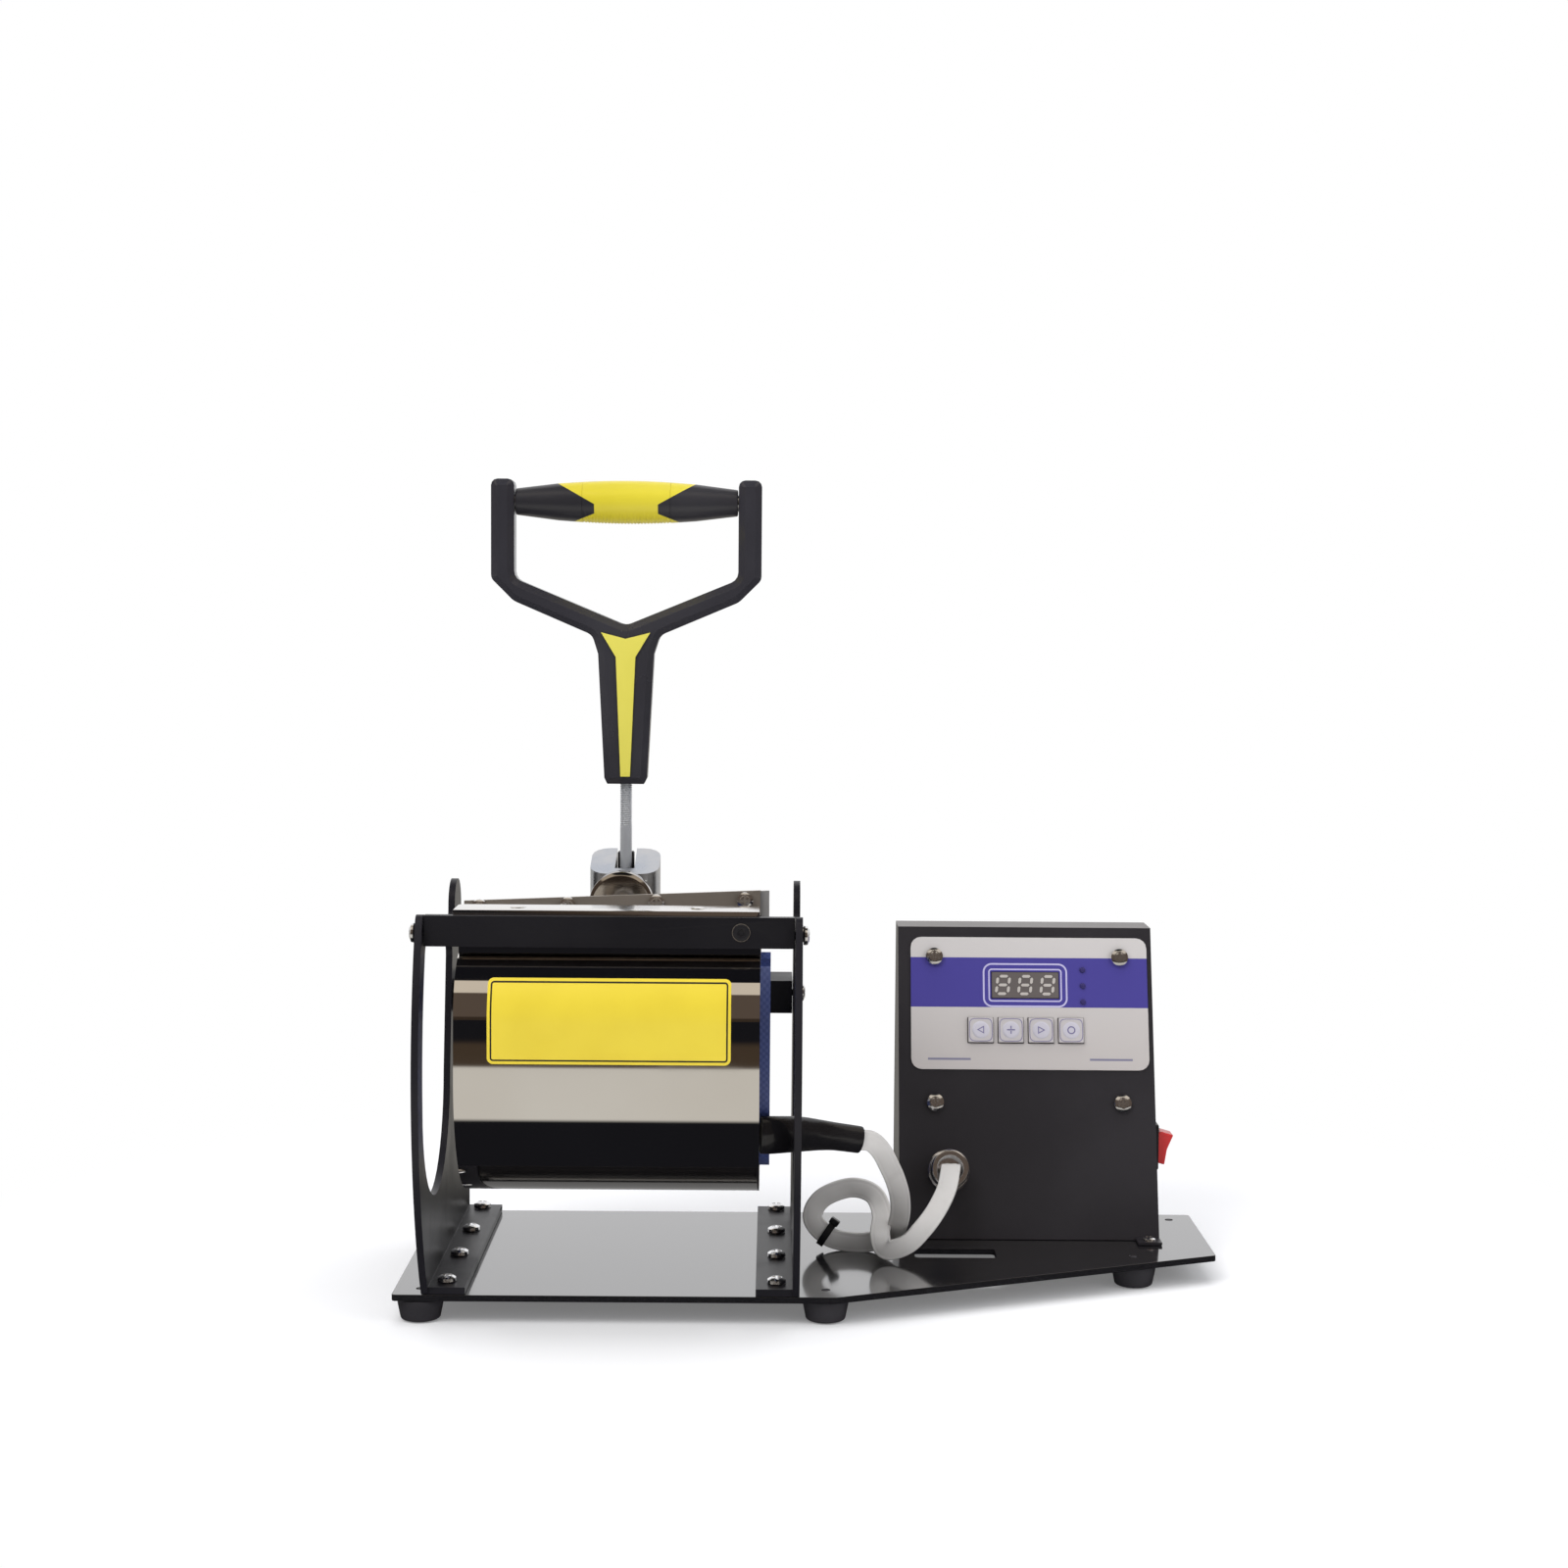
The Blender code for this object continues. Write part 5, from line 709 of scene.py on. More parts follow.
# Cable tie: a band round the cable with its lock
def buildTie():
    tieSet = {"share": 0.45, "width": 0.0032, "thick": 0.0009, "clear": 0.0002, "lockAway": 0.0012,
              "lockLong": 0.0022, "lockDeep": 0.0019}
    index = int(tieSet["share"] * (len(cableLine) - 1))
    centre, along, side, up = cableLine[index], tangent[index], flatSide[index], flatUp[index]
    half = tieSet["width"] / 2
    profile = [(-half, 0), (-half, tieSet["thick"]), (half, tieSet["thick"]), (half, 0), (-half, 0)]
    outline = np.stack([ringX + np.sign(ringX) * tieSet["clear"], ringY + np.sign(ringY) * tieSet["clear"]],
                       axis=1)
    normal = unit(outline)
    points = []
    for shift, lift in profile[:4]:
        flat = outline + normal * lift
        points.append(centre + along * shift + flat[:, :1] * side + flat[:, 1:] * up)
    points.append(points[0])
    addPiece("cable_tie_form", np.concatenate(points), gridFaces(5, cableSet["ring"]), "dark", "press",
             ("cable_tie",), 40.0)
    base = centre - side * (cableSet["width"] / 2 + tieSet["lockAway"])
    lock = []
    for away, size in ((0.0, 0.9), (0.0004, 1.0), (0.0024, 1.0), (0.0028, 0.86)):
        for across, deep in ((-1, -1), (1, -1), (1, 1), (-1, 1)):
            spot = base - side * away + along * across * size * tieSet["lockLong"]
            lock.append(spot + up * deep * size * tieSet["lockDeep"])
    faces = gridFaces(4, 4).tolist() + [[0, 1, 2, 3], [12, 13, 14, 15]]
    return addPiece("cable_tie_lock", np.array(lock), faces, "dark", "press", (), 30.0)


tieLock = buildTie()

# Plain copies of the CAD forms with broken edges: node, look, edge width
print("frame pieces")
plainForms = {
    "base_plate": ("deck", 0.0006), "side_plate_left": ("sideCoat", 0.0005),
    "side_plate_right": ("sideCoat", 0.0005),
    "front_crossbar": ("coat", 0.0007), "rear_crossbar": ("coat", 0.0007), "rear_mid_bar": ("coat", 0.0007),
    "lever_bracket": ("zinc", 0.0005), "lever_hub": ("zinc", 0.0004), "push_link": ("zinc", 0.0004),
    "pivot_pin": ("steel", 0.0002), "crank_pin": ("steel", 0.0002), "box_front": ("boxCoat", 0.0006),
    "box_rear_cover": ("boxCoat", 0.0003), "control_board": ("board", 0.0001),
    "mains_inlet": ("dark", 0.0003),
    # the rear clamp strip's look carries a painted reflection in its brown-grey base
    "front_lip_strip": ("strip", 0.0003), "rear_clamp_strip": ("clamp", 0.0003),
    "lip_gasket": ("gasket", 0.0003),
    "handle_frame": ("handle", 0.0018), "handle_inlay": ("inlay", 0.0002),
    "panel_overlay": ("film", 0.0001), "display_window": ("pane", 0.0003), "rocker_bezel": ("dark", 0.0004),
    "rocker_button": ("red", 0.0005), "key_1": ("keyFilm", 0.0004), "key_2": ("keyFilm", 0.0004),
    "key_3": ("keyFilm", 0.0004), "key_4": ("keyFilm", 0.0004),
}
handleSet = {"angle": 28.0, "corner": 0.006}
for node, (look, width) in plainForms.items():
    softened(node, look, width, **(handleSet if node == "handle_frame" else {}))

# Sleeve: the CAD form subdivided, so that it bends smoothly
sleeve = softened("cable_sleeve", "sleeve", 0.0004, 60.0, 2, 60.0)
smoother = sleeve.modifiers.new("smooth", "SUBSURF")
smoother.levels = 2
smoother.render_levels = 2

# Heater wrap
print("wrap")
drumSet = {"y": -0.038606, "z": 0.1098, "radius": 0.057}
drumCentre = np.array((drumSet["y"], drumSet["z"]))
for node, look in (("shell_front", "mirror"), ("shell_rear", "mirror"), ("insulation_front", "felt"),
                   ("insulation_rear", "felt"), ("heating_mat_front", "silicone"),
                   ("heating_mat_rear", "silicone")):
    fineSheet(node, look, drumCentre)


# Yellow plate: a rounded rectangle laid on the shell, whose profile is flat up to flatTop and then
# an arc. A point (x, s) is s up that profile, at the angle (s - flat) / radius past the flat
def buildLabel():
    labelSet = {"corner": 0.0026, "thick": 0.0005, "brow": 0.028, "flatTop": 0.1338, "rings": 9,
                "cornerSteps": 8, "sideSteps": 26}
    low, high = corners(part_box("label_plate"))
    browY = drumCentre[0] - drumSet["radius"] + labelSet["brow"]
    outer = browY - low[1]
    flat = labelSet["flatTop"] - low[2]
    bend = math.asin((high[2] - labelSet["flatTop"]) / outer)
    middleX = (low[0] + high[0]) / 2
    half = np.array(((high[0] - low[0]) / 2, (flat + outer * bend) / 2))
    corner = labelSet["corner"]
    loop = roundedLoop(*half, corner, labelSet["cornerSteps"])
    outline = []
    for start, end in zip(loop, np.roll(loop, -1, axis=0)):
        count = labelSet["sideSteps"] if np.linalg.norm(end - start) > corner else 1
        outline += [start + (end - start) * step / count for step in range(count)]
    outline = np.array(outline)
    shares = np.linspace(0, 1, labelSet["rings"])
    rows = [(share, 0.0) for share in shares] + [(share, labelSet["thick"]) for share in shares[::-1]]
    surface = []
    for share, deep in rows:
        s = half[1] + outline[:, 1] * share
        angle = np.maximum(s - flat, 0) / outer
        y = browY - (outer - deep) * np.cos(angle)
        z = low[2] + np.minimum(s, flat) + (outer - deep) * np.sin(angle)
        surface.append(np.stack([middleX + outline[:, 0] * share, y, z], axis=1))
    faces = gridFaces(len(rows), len(outline))
    addPiece("label_plate_form", np.concatenate(surface), faces, "label", bodyOf["label_plate"],
             ("label_plate",), 30.0)


buildLabel()

# Lever rod, with its thread above the hub: the radius waves as a helix
print("lever")
rodSet = {"radius": 0.00273, "rings": 220, "threadLow": 0.2035, "threadHigh": 0.2275, "fade": 400,
          "pitch": 0.001,
          "wave": 0.00013, "cut": 0.0001}
rodLow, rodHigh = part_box("lever_rod")
rodSteps = np.linspace(rodLow[2], rodHigh[2], rodSet["rings"])
rodProfile = [(rodLow[2], 0.0)] + [(z, rodSet["radius"]) for z in rodSteps] + [(rodHigh[2], 0.0)]


def rodThread(along, angle):
    # the radius changes by wave * cos(2 pi along / pitch - angle) - cut, faded in and out
    depth = np.clip((rodSet["threadHigh"] - along) * rodSet["fade"], 0, 1)
    depth = depth * np.clip((along - rodSet["threadLow"]) * rodSet["fade"], 0, 1)
    helix = np.cos(2 * math.pi * along / rodSet["pitch"] - angle)
    return rodSet["wave"] * depth * helix - rodSet["cut"] * depth


turnedPiece("lever_rod_form", rodProfile, (leverSet["x"], leverSet["pivotY"], 0), "Z", "rod", "lever",
            ("lever_rod",),
            48, 0.0002, rodThread)


# Neck: the dark forked end of the lever round the foot of the rod, inside the bracket's slot
def buildNeck():
    neckSet = {"halfX": 0.0038, "halfY": 0.0028, "back": 0.0024, "corner": 0.0014, "low": 0.1706,
               "below": 0.0004,
               "steps": 6, "round": 0.0006, "narrow": 0.9}
    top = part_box("lever_bracket")[1][2] - neckSet["below"]
    loop = roundedLoop(neckSet["halfX"], neckSet["halfY"], neckSet["corner"], neckSet["steps"])
    low, edge = neckSet["low"], top - neckSet["round"]
    points = []
    for share, z in ((0.0, low), (1.0, low), (1.0, edge), (neckSet["narrow"], top), (0.0, top)):
        x = leverSet["x"] + loop[:, 0] * share
        y = leverSet["pivotY"] + neckSet["back"] + loop[:, 1] * share
        points.append(np.column_stack([x, y, np.full(len(loop), z)]))
    return addPiece("lever_neck", np.concatenate(points), gridFaces(5, len(loop)), "dark", "lever", (), 35.0)


buildNeck()

# Grip: a steel core, black tapered ends and a yellow band with fine ribs
gripSet = {"core": 0.05805, "coreRadius": 0.004, "end": 0.0507, "hole": 0.0043, "endRadius": 0.0060,
           "taper": 0.0315,
           "taperRadius": 0.0084, "band": 0.0200, "bandRadius": 0.0092, "seat": 0.0086}
gripCentre = (leverSet["x"], leverSet["pivotY"], leverSet["gripZ"])
core, coreRadius = gripSet["core"], gripSet["coreRadius"]
turnedPiece("grip_core_form", [(-core, 0), (-core, coreRadius), (core, coreRadius), (core, 0)], gripCentre,
            "X",
            "steel", "lever", ("grip_core",), 48, 0.0004)
halfProfile = [
    (gripSet["band"], gripSet["seat"]), (gripSet["band"], gripSet["bandRadius"]),
    (gripSet["taper"], gripSet["taperRadius"]), (gripSet["end"], gripSet["endRadius"]),
    (gripSet["end"], gripSet["hole"]),
]
sleeveProfile = [(-along, radius) for along, radius in halfProfile[::-1]] + halfProfile
sleeveProfile.append((-gripSet["end"], gripSet["hole"]))
turnedPiece("grip_sleeve_form", sleeveProfile, gripCentre, "X", "grip", "lever", ("grip_sleeve",), 72, 0.0008)
bandSet = {"half": 0.01995, "seat": 0.0089, "end": 0.0092, "bulge": 0.0006, "rib": 0.0015, "deep": 0.0003,
           "steps": 120}
bandSteps = np.linspace(-bandSet["half"], bandSet["half"], bandSet["steps"])
bandProfile = [(-bandSet["half"], bandSet["seat"])]
bandProfile += [(x, bandSet["end"] + bandSet["bulge"] * (1 - (x / bandSet["half"]) ** 2)) for x in bandSteps]
bandProfile += [(bandSet["half"], bandSet["seat"]), (-bandSet["half"], bandSet["seat"])]


def bandRibs(along, angle):
    # cross ribs on the underside: a cosine along the band, faded in by how far down the skin faces
    below = np.clip(-np.sin(angle) * 2 - 0.9, 0, 1)
    return -bandSet["deep"] * below * (0.5 + 0.5 * np.cos(2 * math.pi * along / bandSet["rib"]))


turnedPiece("grip_band_form", bandProfile, gripCentre, "X", "grip", "lever", ("grip_band",), 72, 0.00003,
            bandRibs)

# Pressure screw, knob and pad
knobProfile = [
    (-0.00833, 0.0033), (-0.00833, 0.0128), (-0.0078, 0.01345), (-0.0070, 0.01435), (-0.0001, 0.01435),
    (0.00077, 0.0135),
    (0.00077, 0.0054), (0.00487, 0.0054), (0.00487, 0.0033), (-0.00833, 0.0033),
]
knobCentre = (leverSet["x"], 0, leverSet["screwZ"])
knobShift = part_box("pressure_knob")[0][1] - knobProfile[0][0]
knobProfile = [(along + knobShift, radius) for along, radius in knobProfile]
turnedPiece("pressure_knob_form", knobProfile, knobCentre, "Y", "knob", "screw", ("pressure_knob",), 96,
            0.0003)
screwSet = {"radius": 0.00285, "tip": 0.0024, "end": 0.0005, "rings": 420, "pitch": 0.001, "wave": 0.00014}
screwLow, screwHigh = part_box("pressure_screw")
screwSteps = np.linspace(screwLow[1] + screwSet["end"], screwHigh[1] - screwSet["end"], screwSet["rings"])
screwProfile = [(screwLow[1], 0), (screwLow[1], screwSet["tip"])] + [(y,
                                                                      screwSet["radius"]) for y in screwSteps]
screwProfile += [(screwHigh[1], screwSet["tip"]), (screwHigh[1], 0)]


def screwThread(along, angle):
    # a helix: wave * cos(2 pi along / pitch - angle)
    return screwSet["wave"] * np.cos(2 * math.pi * along / screwSet["pitch"] - angle)


turnedPiece("pressure_screw_form", screwProfile, knobCentre, "Y", "steel", "screw", ("pressure_screw",), 40,
            0.0001,
            screwThread)
padLow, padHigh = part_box("swivel_pad")
padSet = {"radius": 0.005, "cup": 0.0033, "floor": 0.002}
padProfile = [(padLow[1], 0), (padLow[1], padSet["radius"]), (padHigh[1], padSet["radius"]),
              (padHigh[1], padSet["cup"]),
              (padLow[1] + padSet["floor"], padSet["cup"]), (padLow[1] + padSet["floor"], 0)]
turnedPiece("swivel_pad_form", padProfile, knobCentre, "Y", "steel", "pad", ("swivel_pad",), 64, 0.0005)

# Feet and flange screws
print("feet and screws")
for number in range(1, 6):
    low, high = corners(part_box("rubber_foot_" + str(number)))
    middle = (low + high) / 2
    footProfile = [
        (0.0002, 0.0), (0.0002, 0.0030), (0.0, 0.0042), (0.0, 0.0072), (0.0006, 0.0085), (0.0070, 0.0098),
        (0.0092, 0.0100), (0.0097, 0.0094), (0.0097, 0.0016), (float(high[2]), 0.0016), (float(high[2]), 0),
    ]
    turnedPiece("rubber_foot_%d_form" % number, footProfile, (middle[0], middle[1], 0), "Z", "rubber",
                "press",
                ("rubber_foot_" + str(number),), 64, 0.0006)
flangeSet = {"sink": 0.0021, "radius": 0.0041, "rise": 0.0024}
for number in range(1, 9):
    name = "flange_screw_" + str(number)
    low, high = corners(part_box(name))
    middle = (low + high) / 2
    slots = nodes[name].data.materials
    slots.clear()
    slots.append(looks["screw"])
    seat = np.array((middle[0], middle[1], high[2] - flangeSet["sink"]))
    crossScrew(name + "_head", seat, "Z", flangeSet["radius"], flangeSet["rise"], "press")

# Cross-recessed domes over the heads that the CAD joins to other pieces
headSet = {
    "rise": 0.0018, "coverRise": 0.0014, "left": 0.1697, "right": -0.0079, "clamp": 0.0368, "tab": 0.0148,
    "tabFront": 0.027,
    "tabTop": 0.02, "cover": 0.0005, "bracket": 0.1617, "bracketTop": 0.1645, "bracketOut": 0.017,
}
for place, node in (("front", "front_crossbar"), ("rear", "rear_crossbar"), ("mid", "rear_mid_bar")):
    topHeads("bar_screw_left_" + place, node, "-X", headSet["left"], headSet["rise"], "press")
    topHeads("bar_screw_right_" + place, node, "X", headSet["right"], headSet["rise"], "press")
topHeads("clamp_screw", "rear_clamp_strip", "-Y", headSet["clamp"], headSet["rise"],
         bodyOf["rear_clamp_strip"])
topHeads("tab_screw", "box_front", "Z", headSet["tab"], headSet["rise"], "press",
         lambda points: (points[:, 1] < headSet["tabFront"]) & (points[:, 2] < headSet["tabTop"]))
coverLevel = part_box("box_rear_cover")[1][1] - headSet["cover"]
topHeads("cover_screw", "box_rear_cover", "Y", coverLevel, headSet["coverRise"], "press")


# Socket screw in the front crossbar: a black head with a hollow middle, and a thin bright ring
def buildSocketScrew():
    front = -axisFrames["Y"][0]
    level = max(np.array(vertex.co) @ front for vertex in nodes["front_lip_strip"].data.vertices)
    for middle, radius, top in headPlaces("front_lip_strip", front, level - 0.0003):
        if radius > 0.008:
            continue
        seat = middle + front * (top - middle @ front)
        head = [(-0.0004, 0), (-0.0004, radius), (0.0005, radius), (0.0008, radius * 0.85),
                (0.0008, radius * 0.45),
                (0.0001, radius * 0.4), (0.0001, 0)]
        turnedPiece("socket_screw_head", head, seat, "-Y", "dark", "press", (), 60, 0.0002)
        ringLine = [(-0.0003, radius * 1.02), (0.0002, radius * 1.02), (0.0002, radius * 1.08),
                    (-0.0003, radius * 1.08),
                    (-0.0003, radius * 1.02)]
        # the ring wears the clamp strip's brown-grey, a painted reflection
        turnedPiece("socket_screw_ring", ringLine, seat, "-Y", "clamp", "press", (), 60, 0.00005)


buildSocketScrew()
topHeads("bracket_screw", "lever_bracket", "Z", headSet["bracket"], headSet["rise"], "press",
         lambda points: (points[:, 2] < headSet["bracketTop"])
         & (np.abs(points[:, 0] - leverSet["x"]) > headSet["bracketOut"]))

# Connector: ring on the panel and knurled plug
print("connector")
socketSpot = panelSpot(0.0229, 0.0313, 0)
ringProfile = [(-0.0095, 0), (-0.0095, 0.0076), (0.0003, 0.0076), (0.0003, 0.0100), (0.0024, 0.0100),
               (0.0031, 0.0092),
               (0.0031, 0.0)]
turnedPiece("panel_socket_form", ringProfile, socketSpot, "out", "screw", "press", ("panel_socket",), 96,
            0.0003)
plugProfile = [(0.0034, 0), (0.0034, 0.0090), (0.0131, 0.0090), (0.0139, 0.0082), (0.0139, 0.0060),
               (0.0054, 0.0058),
               (0.0054, 0)]


knurlSet = {"low": 0.0044, "high": 0.0122, "fade": 2500, "deep": 0.00018, "count": 40}


def knurl(along, angle):
    # lengthwise grooves: a cosine round the plug, faded in and out along it
    band = np.clip((along - knurlSet["low"]) * knurlSet["fade"], 0, 1)
    band = band * np.clip((knurlSet["high"] - along) * knurlSet["fade"], 0, 1)
    return -knurlSet["deep"] * band * (0.5 + 0.5 * np.cos(angle * knurlSet["count"]))


turnedPiece("cable_plug_form", plugProfile, socketSpot, "out", "screw", "press", ("cable_plug",), 320, 0.0003,
            knurl)

print("panel")
flatSet = {"sink": -0.0001, "lift": 0.00006}


def flatMark(name, outlines, origin, look, body, sink=flatSet["sink"]):
    # thin closed solids: rings are given as (inner, outer) loops, plain shapes as one loop
    points, faces = [], []
    lift = flatSet["lift"]
    for outline in outlines:
        loops = outline if isinstance(outline, tuple) else (outline,)
        start = len(points)
        count = len(loops[0])
        levels = [(loop, height) for loop in loops for height in (sink, lift)]
        if len(loops) == 2:
            inner, outer = loops
            levels = [(inner, sink), (inner, lift), (outer, lift), (outer, sink), (inner, sink)]
        for loop, height in levels:
            for across, up in loop:
                points.append(origin + np.array((across, 0, 0)) + panelUp * up + panelOut * height)
        faces += (gridFaces(len(levels), count) + start).tolist()
        if len(loops) == 1:
            faces += [list(range(start, start + count)), list(range(start + count, start + 2 * count))]
    return addPiece(name, np.array(points), faces, look, body, (), 30.0)


# Display digits: three figures of seven pale segments
def buildDigits():
    digitSet = {"tall": 0.0084, "wide": 0.0056, "pitch": 0.0106, "bar": 0.0013, "sink": -0.0002,
                "level": 0.72, "upright": 0.36, "cut": 0.45, "lean": 0.12}
    low, high = corners(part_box("display_window"))
    centre = (low + high) / 2
    front = max(np.array(vertex.co) @ panelOut for vertex in nodes["display_window"].data.vertices)
    centre = centre + panelOut * (front - centre @ panelOut)
    outlines = []
    bars = [(0, 1, 1), (0, 0, 1), (0, -1, 1), (-1, 0.5, 0), (1, 0.5, 0), (-1, -0.5, 0), (1, -0.5, 0)]
    for digit in (-1, 0, 1):
        for across, up, level in bars:
            x = digit * digitSet["pitch"] + across * digitSet["wide"] / 2
            y = up * digitSet["tall"] / 2
            length = digitSet["wide"] * digitSet["level"] if level else digitSet["tall"] * digitSet["upright"]
            halfX, halfY = (length / 2, digitSet["bar"] / 2) if level else (digitSet["bar"] / 2, length / 2)
            cut = digitSet["bar"] * digitSet["cut"]
            outline = [(-halfX + cut, -halfY), (halfX - cut, -halfY), (halfX, -halfY + cut),
                       (halfX, halfY - cut),
                       (halfX - cut, halfY), (-halfX + cut, halfY), (-halfX, halfY - cut),
                       (-halfX, -halfY + cut)]
            outlines.append([(x + dx + (y + dy) * digitSet["lean"], y + dy) for dx, dy in outline])
    return flatMark("display_digits", outlines, centre, "segment", "press", digitSet["sink"])


buildDigits()


# Panel screws and lamps: the heads of the board that stand out of the panel
def buildPanelHeads():
    headSet = {"lampX": 0.1259, "near": 0.004, "stand": 0.0009, "screwRise": 0.0019}
    level = float(panelSpot(0, 0, 0) @ panelOut) + headSet["stand"]
    lampX, near = headSet["lampX"], headSet["near"]
    screws = headPlaces("control_board", panelOut, level, lambda points: np.abs(points[:, 0] - lampX) > near)
    for number, (middle, radius, top) in enumerate(screws, 1):
        seat = middle + panelOut * (top - headSet["screwRise"] * 0.9 - middle @ panelOut)
        crossScrew("panel_screw_" + str(number), seat, "out", radius * 1.03, headSet["screwRise"], "press")
    lamps = headPlaces("control_board", panelOut, level - headSet["stand"] * 0.6,
                       lambda points: np.abs(points[:, 0] - lampX) < near, 0.004)
    for number, (middle, radius, top) in enumerate(lamps, 1):
        seat = middle + panelOut * (top - middle @ panelOut)
        dome = [(-0.0004, 0), (-0.0004, radius * 1.12), (0.0001, radius * 1.1), (0.0004, radius * 0.6),
                (0.0005, 0.0)]
        turnedPiece("lamp_" + str(number), dome, seat, "out", "lamp", "press", (), 32, 0.0001)


buildPanelHeads()


def loopOf(radius, count=40, square=1.0):
    # superellipse loop: square 1 is a circle, smaller values are squarer
    angle = np.linspace(0, 2 * math.pi, count, endpoint=False)
    x = np.sign(np.cos(angle)) * np.abs(np.cos(angle)) ** square * radius
    y = np.sign(np.sin(angle)) * np.abs(np.sin(angle)) ** square * radius
    return list(zip(x, y))


# Key marks: a border, a dome and a plain figure on each key
def buildKeyMarks():
    markSet = {"frame": 0.0055, "line": 0.0003, "dome": 0.0041, "rise": 0.00035, "mark": 0.0019,
               "hollow": 0.6,
               "bar": 0.0003, "gap": 0.0005, "shoulder": 0.0034, "crown": 0.0024, "steps": 48, "square": 0.42}
    size, bar, gap = markSet["mark"], markSet["bar"], markSet["gap"]
    arrow = [(-size, 0.0), (size * 0.8, -size), (size * 0.8, size)]
    hollow = [((x - size * 0.2) * markSet["hollow"] + size * 0.2, y * markSet["hollow"]) for x, y in arrow]
    marks = (
        [(hollow, arrow)],
        [[(-size, -bar), (size, -bar), (size, bar), (-size, bar)],
         [(-bar, gap), (bar, gap), (bar, size), (-bar, size)],
         [(-bar, -size), (bar, -size), (bar, -gap), (-bar, -gap)]],
        [([(-x, -y) for x, y in hollow], [(-x, -y) for x, y in arrow])],
        [(loopOf(size * 0.7), loopOf(size * 1.0))],
    )
    for number, shapes in enumerate(marks, 1):
        node = nodes["key_" + str(number)]
        points = np.array([tuple(vertex.co) for vertex in node.data.vertices])
        front = float((points @ panelOut).max())
        face = points[points @ panelOut > front - 0.0001]
        origin = (face.min(axis=0) + face.max(axis=0)) / 2
        origin = origin + panelOut * (front - origin @ panelOut)
        body = "key_" + str(number)
        edges = (markSet["frame"] - markSet["line"], markSet["frame"])
        border = [tuple(loopOf(edge, markSet["steps"], markSet["square"]) for edge in edges)]
        flatMark("key_%d_border" % number, border, origin, "print", body)
        dome = [(-0.0002, 0), (-0.0002, markSet["dome"]), (0.00004, markSet["dome"]),
                (markSet["rise"] * 0.8, markSet["shoulder"]),
                (markSet["rise"], markSet["crown"]), (markSet["rise"], 0)]
        turnedPiece("key_%d_dome" % number, dome, origin, "out", "keyDome", body, (), 56, 0.0002)
        flatMark("key_%d_marks" % number, shapes, origin + panelOut * markSet["rise"], "print", body)


buildKeyMarks()

# Floor, world and lights
print("studio")


def buildFloor():
    floorSet = {"half": 4.0, "drop": -0.0004, "first": (234, 234, 235), "second": (236, 236, 237),
                "glow": 0.16}
    mesh = bpy.data.meshes.new("floor")
    half = floorSet["half"]
    places = [(x * half, y * half, floorSet["drop"]) for x, y in ((-1, -1), (1, -1), (1, 1), (-1, 1))]
    mesh.from_pydata(places, [], [(0, 1, 2, 3)])
    floor = bpy.data.objects.new("floor", mesh)
    scene.collection.objects.link(floor)
    shader = Shader("floor")
    paper = shader.noise(3.0, 2.0)
    colour = shader.mixed(paper, tint(*floorSet["first"]), tint(*floorSet["second"]))
    plain = shader.node("ShaderNodeBsdfDiffuse", None, {"Color": colour})
    glow = shader.node("ShaderNodeEmission", None, {"Color": (1, 1, 1, 1), "Strength": floorSet["glow"]})
    lit = shader.node("ShaderNodeAddShader", None, {0: plain, 1: glow})
    # away from the press the camera sees the floor as plain white paper
    middle = shader.part("X") * shader.part("X") + shader.part("Y") * shader.part("Y")
    camera = shader.node("ShaderNodeLightPath", out=0)
    white = shader.node("ShaderNodeEmission", None, {"Color": (1, 1, 1, 1), "Strength": 1.0})
    lit = shader.node("ShaderNodeMixShader", None, {0: middle.ramp(0.06, 0.2) * camera, 1: lit, 2: white})
    # what shiny pieces see of the floor: dark close to the press, pale further out, dark beyond
    y = shader.part("Y")
    near = y.ramp(-0.19, -0.174) * (1.0 - y.ramp(0.12, 0.3))
    seen = shader.mixed(y.ramp(-0.74, -0.72), (0.052, 0.036, 0.024, 1), (0.57, 0.545, 0.5, 1))
    seen = shader.mixed(y.ramp(-1.05, -0.95), (0.008, 0.008, 0.01, 1), seen)
    seen = shader.mixed(near, seen, (0.008, 0.008, 0.01, 1))
    mirrored = shader.node("ShaderNodeEmission", None, {"Color": seen, "Strength": 1.0})
    glossy = shader.node("ShaderNodeLightPath", out=3)
    floorLook = shader.node("ShaderNodeMixShader", None, {0: glossy, 1: lit, 2: mirrored})
    mesh.materials.append(shader.finish(floorLook))


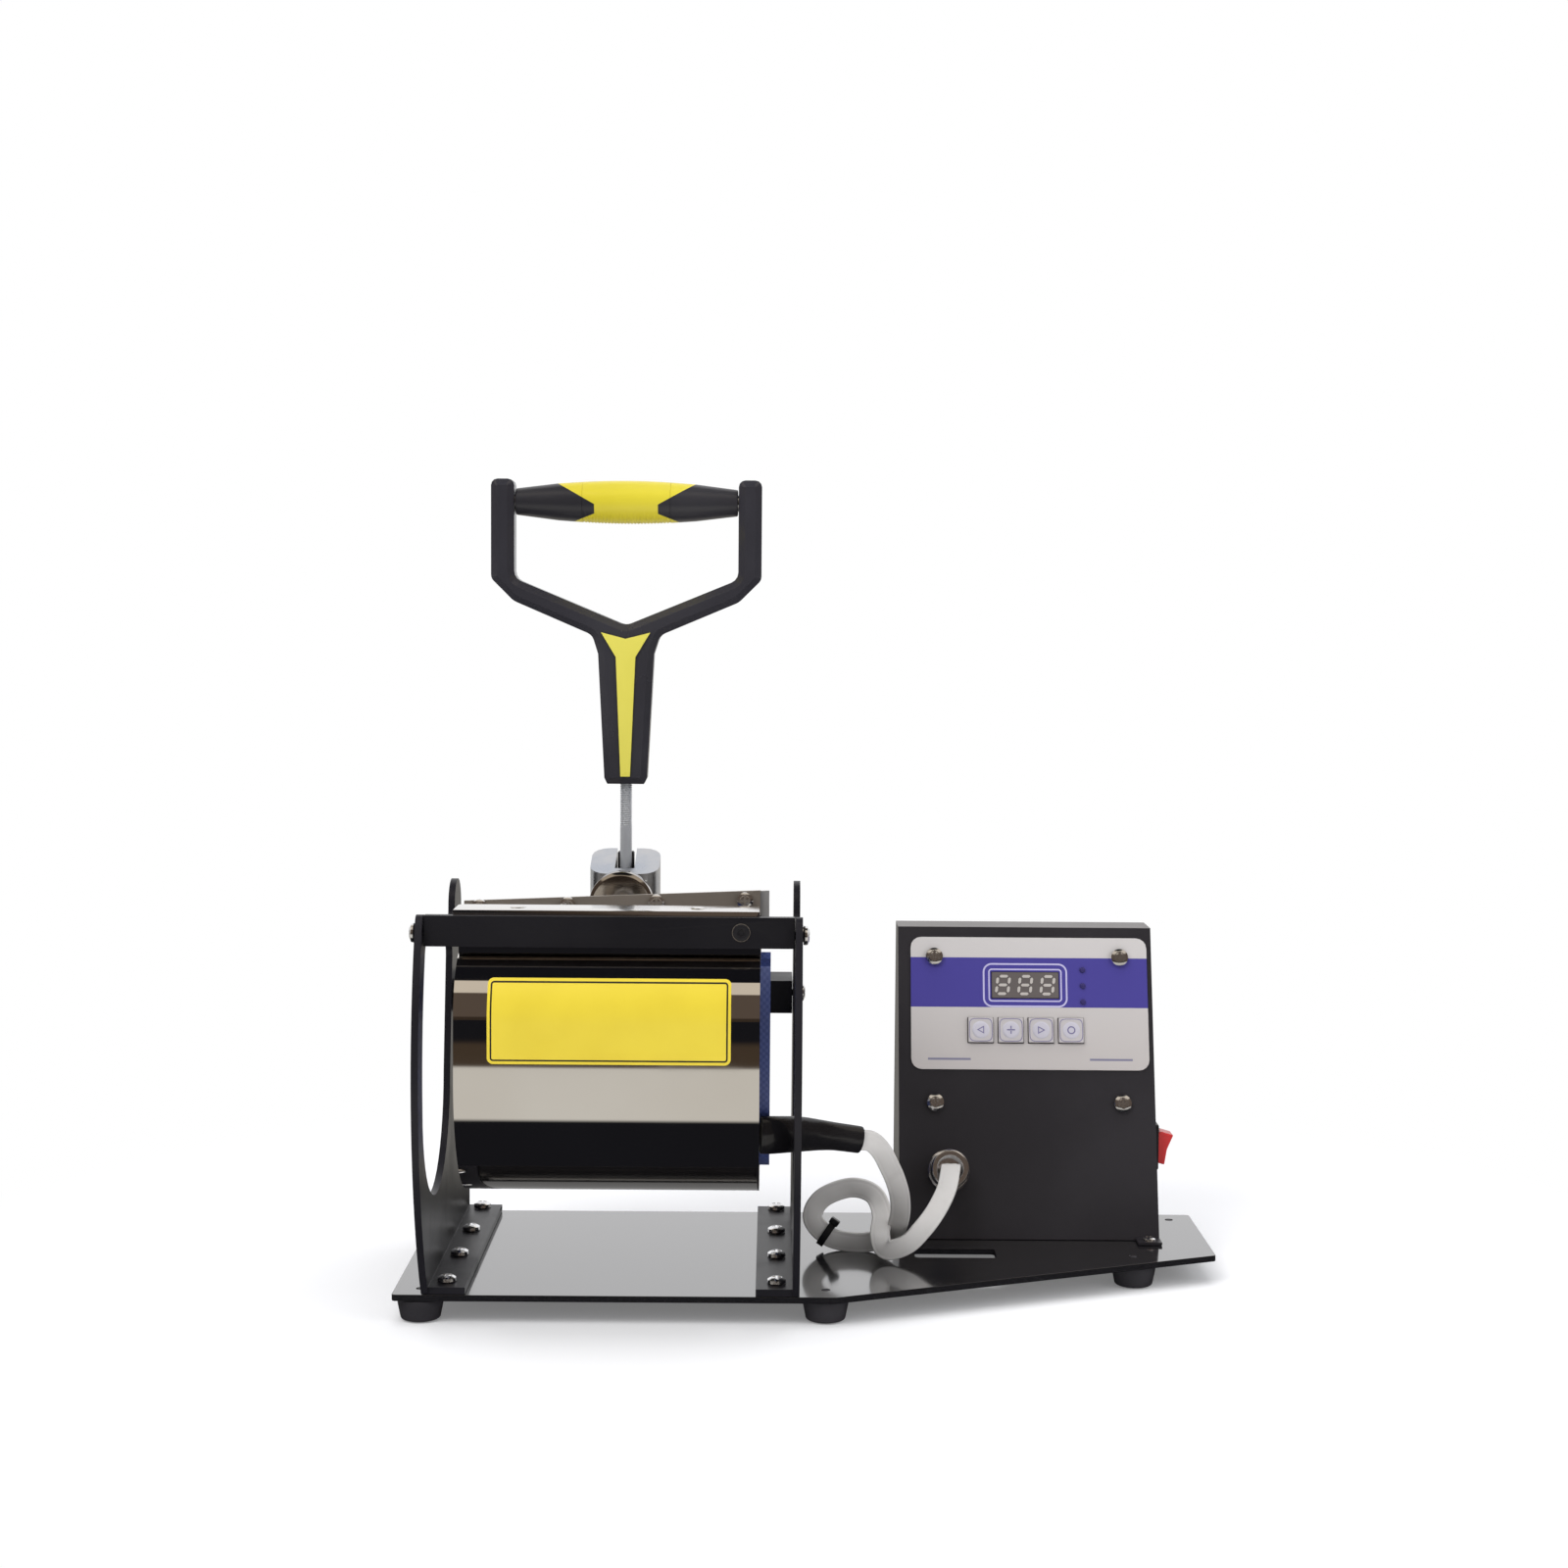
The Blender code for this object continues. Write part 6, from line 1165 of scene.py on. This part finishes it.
def buildWorld():
    world = bpy.data.worlds.new("studio")
    world.use_nodes = True
    scene.world = world
    shader = Shader("world", world.node_tree)
    direction = shader.node("ShaderNodeTexCoord", out=0)
    height = shader.node("ShaderNodeSeparateXYZ", None, {0: direction}, out=2)
    ahead = shader.node("ShaderNodeSeparateXYZ", None, {0: direction}, out=1)
    # what shiny pieces see in front, from the horizon up: a dark line, a dim room, a warm strip and
    # a black ceiling that reaches a little behind; the rest behind is light
    ceiling = (0.006, 0.006, 0.008, 1)
    seen = (0.035, 0.024, 0.017, 1)
    for low, high, colour in ((0.02, 0.06, (0.09, 0.067, 0.052, 1)), (0.66, 0.69, (0.6, 0.53, 0.44, 1)),
                              (0.91, 0.925, ceiling)):
        seen = shader.mixed(height.ramp(low, high), seen, colour)
    behind = ahead.ramp(-0.1, 0.0) * height.ramp(0.9, 0.93)
    seen = shader.mixed(behind, seen, ceiling)
    seen = shader.mixed(ahead.ramp(0.38, 0.5), seen, (0.95, 0.95, 0.96, 1))
    camera = shader.node("ShaderNodeLightPath", out=0)
    glossy = shader.node("ShaderNodeLightPath", out=3)
    plain = shader.node("ShaderNodeBackground", None, {"Color": (0.95, 0.96, 1.0, 1), "Strength": 0.62})
    shiny = shader.node("ShaderNodeBackground", None, {"Color": seen, "Strength": 1.0})
    white = shader.node("ShaderNodeBackground", None, {"Color": (1, 1, 1, 1), "Strength": 1.0})
    mixed = shader.node("ShaderNodeMixShader", None, {0: glossy, 1: plain, 2: shiny})
    mixed = shader.node("ShaderNodeMixShader", None, {0: camera, 1: mixed, 2: white})
    output = shader.tree.nodes.new("ShaderNodeOutputWorld")
    shader.tree.links.new(mixed.socket, output.inputs["Surface"])


def softLight(name, place, target, size, power, colour):
    data = bpy.data.lights.new(name, "AREA")
    data.shape = "RECTANGLE"
    data.size, data.size_y = size
    data.energy = power
    data.color = colour
    light = bpy.data.objects.new(name, data)
    scene.collection.objects.link(light)
    aim = (Vector(target) - Vector(place)).to_track_quat("-Z", "Y").to_matrix().to_4x4()
    light.matrix_world = Matrix.Translation(place) @ aim
    light.visible_glossy = False
    light.visible_camera = False


buildFloor()
buildWorld()
lightSet = {
    "key": ((-0.9, -1.1, 1.5), (0, 0, 0.15), (1.0, 1.0), 17.0, (1.0, 0.99, 0.97)),
    "fill": ((1.3, -0.9, 0.9), (0, 0, 0.15), (1.0, 1.0), 7.0, (0.97, 0.98, 1.0)),
    "overhead": ((0.0, 0.15, 1.6), (0, 0, 0), (1.4, 0.9), 9.0, (1, 1, 1)),
}
for name, values in lightSet.items():
    softLight(name, *values)
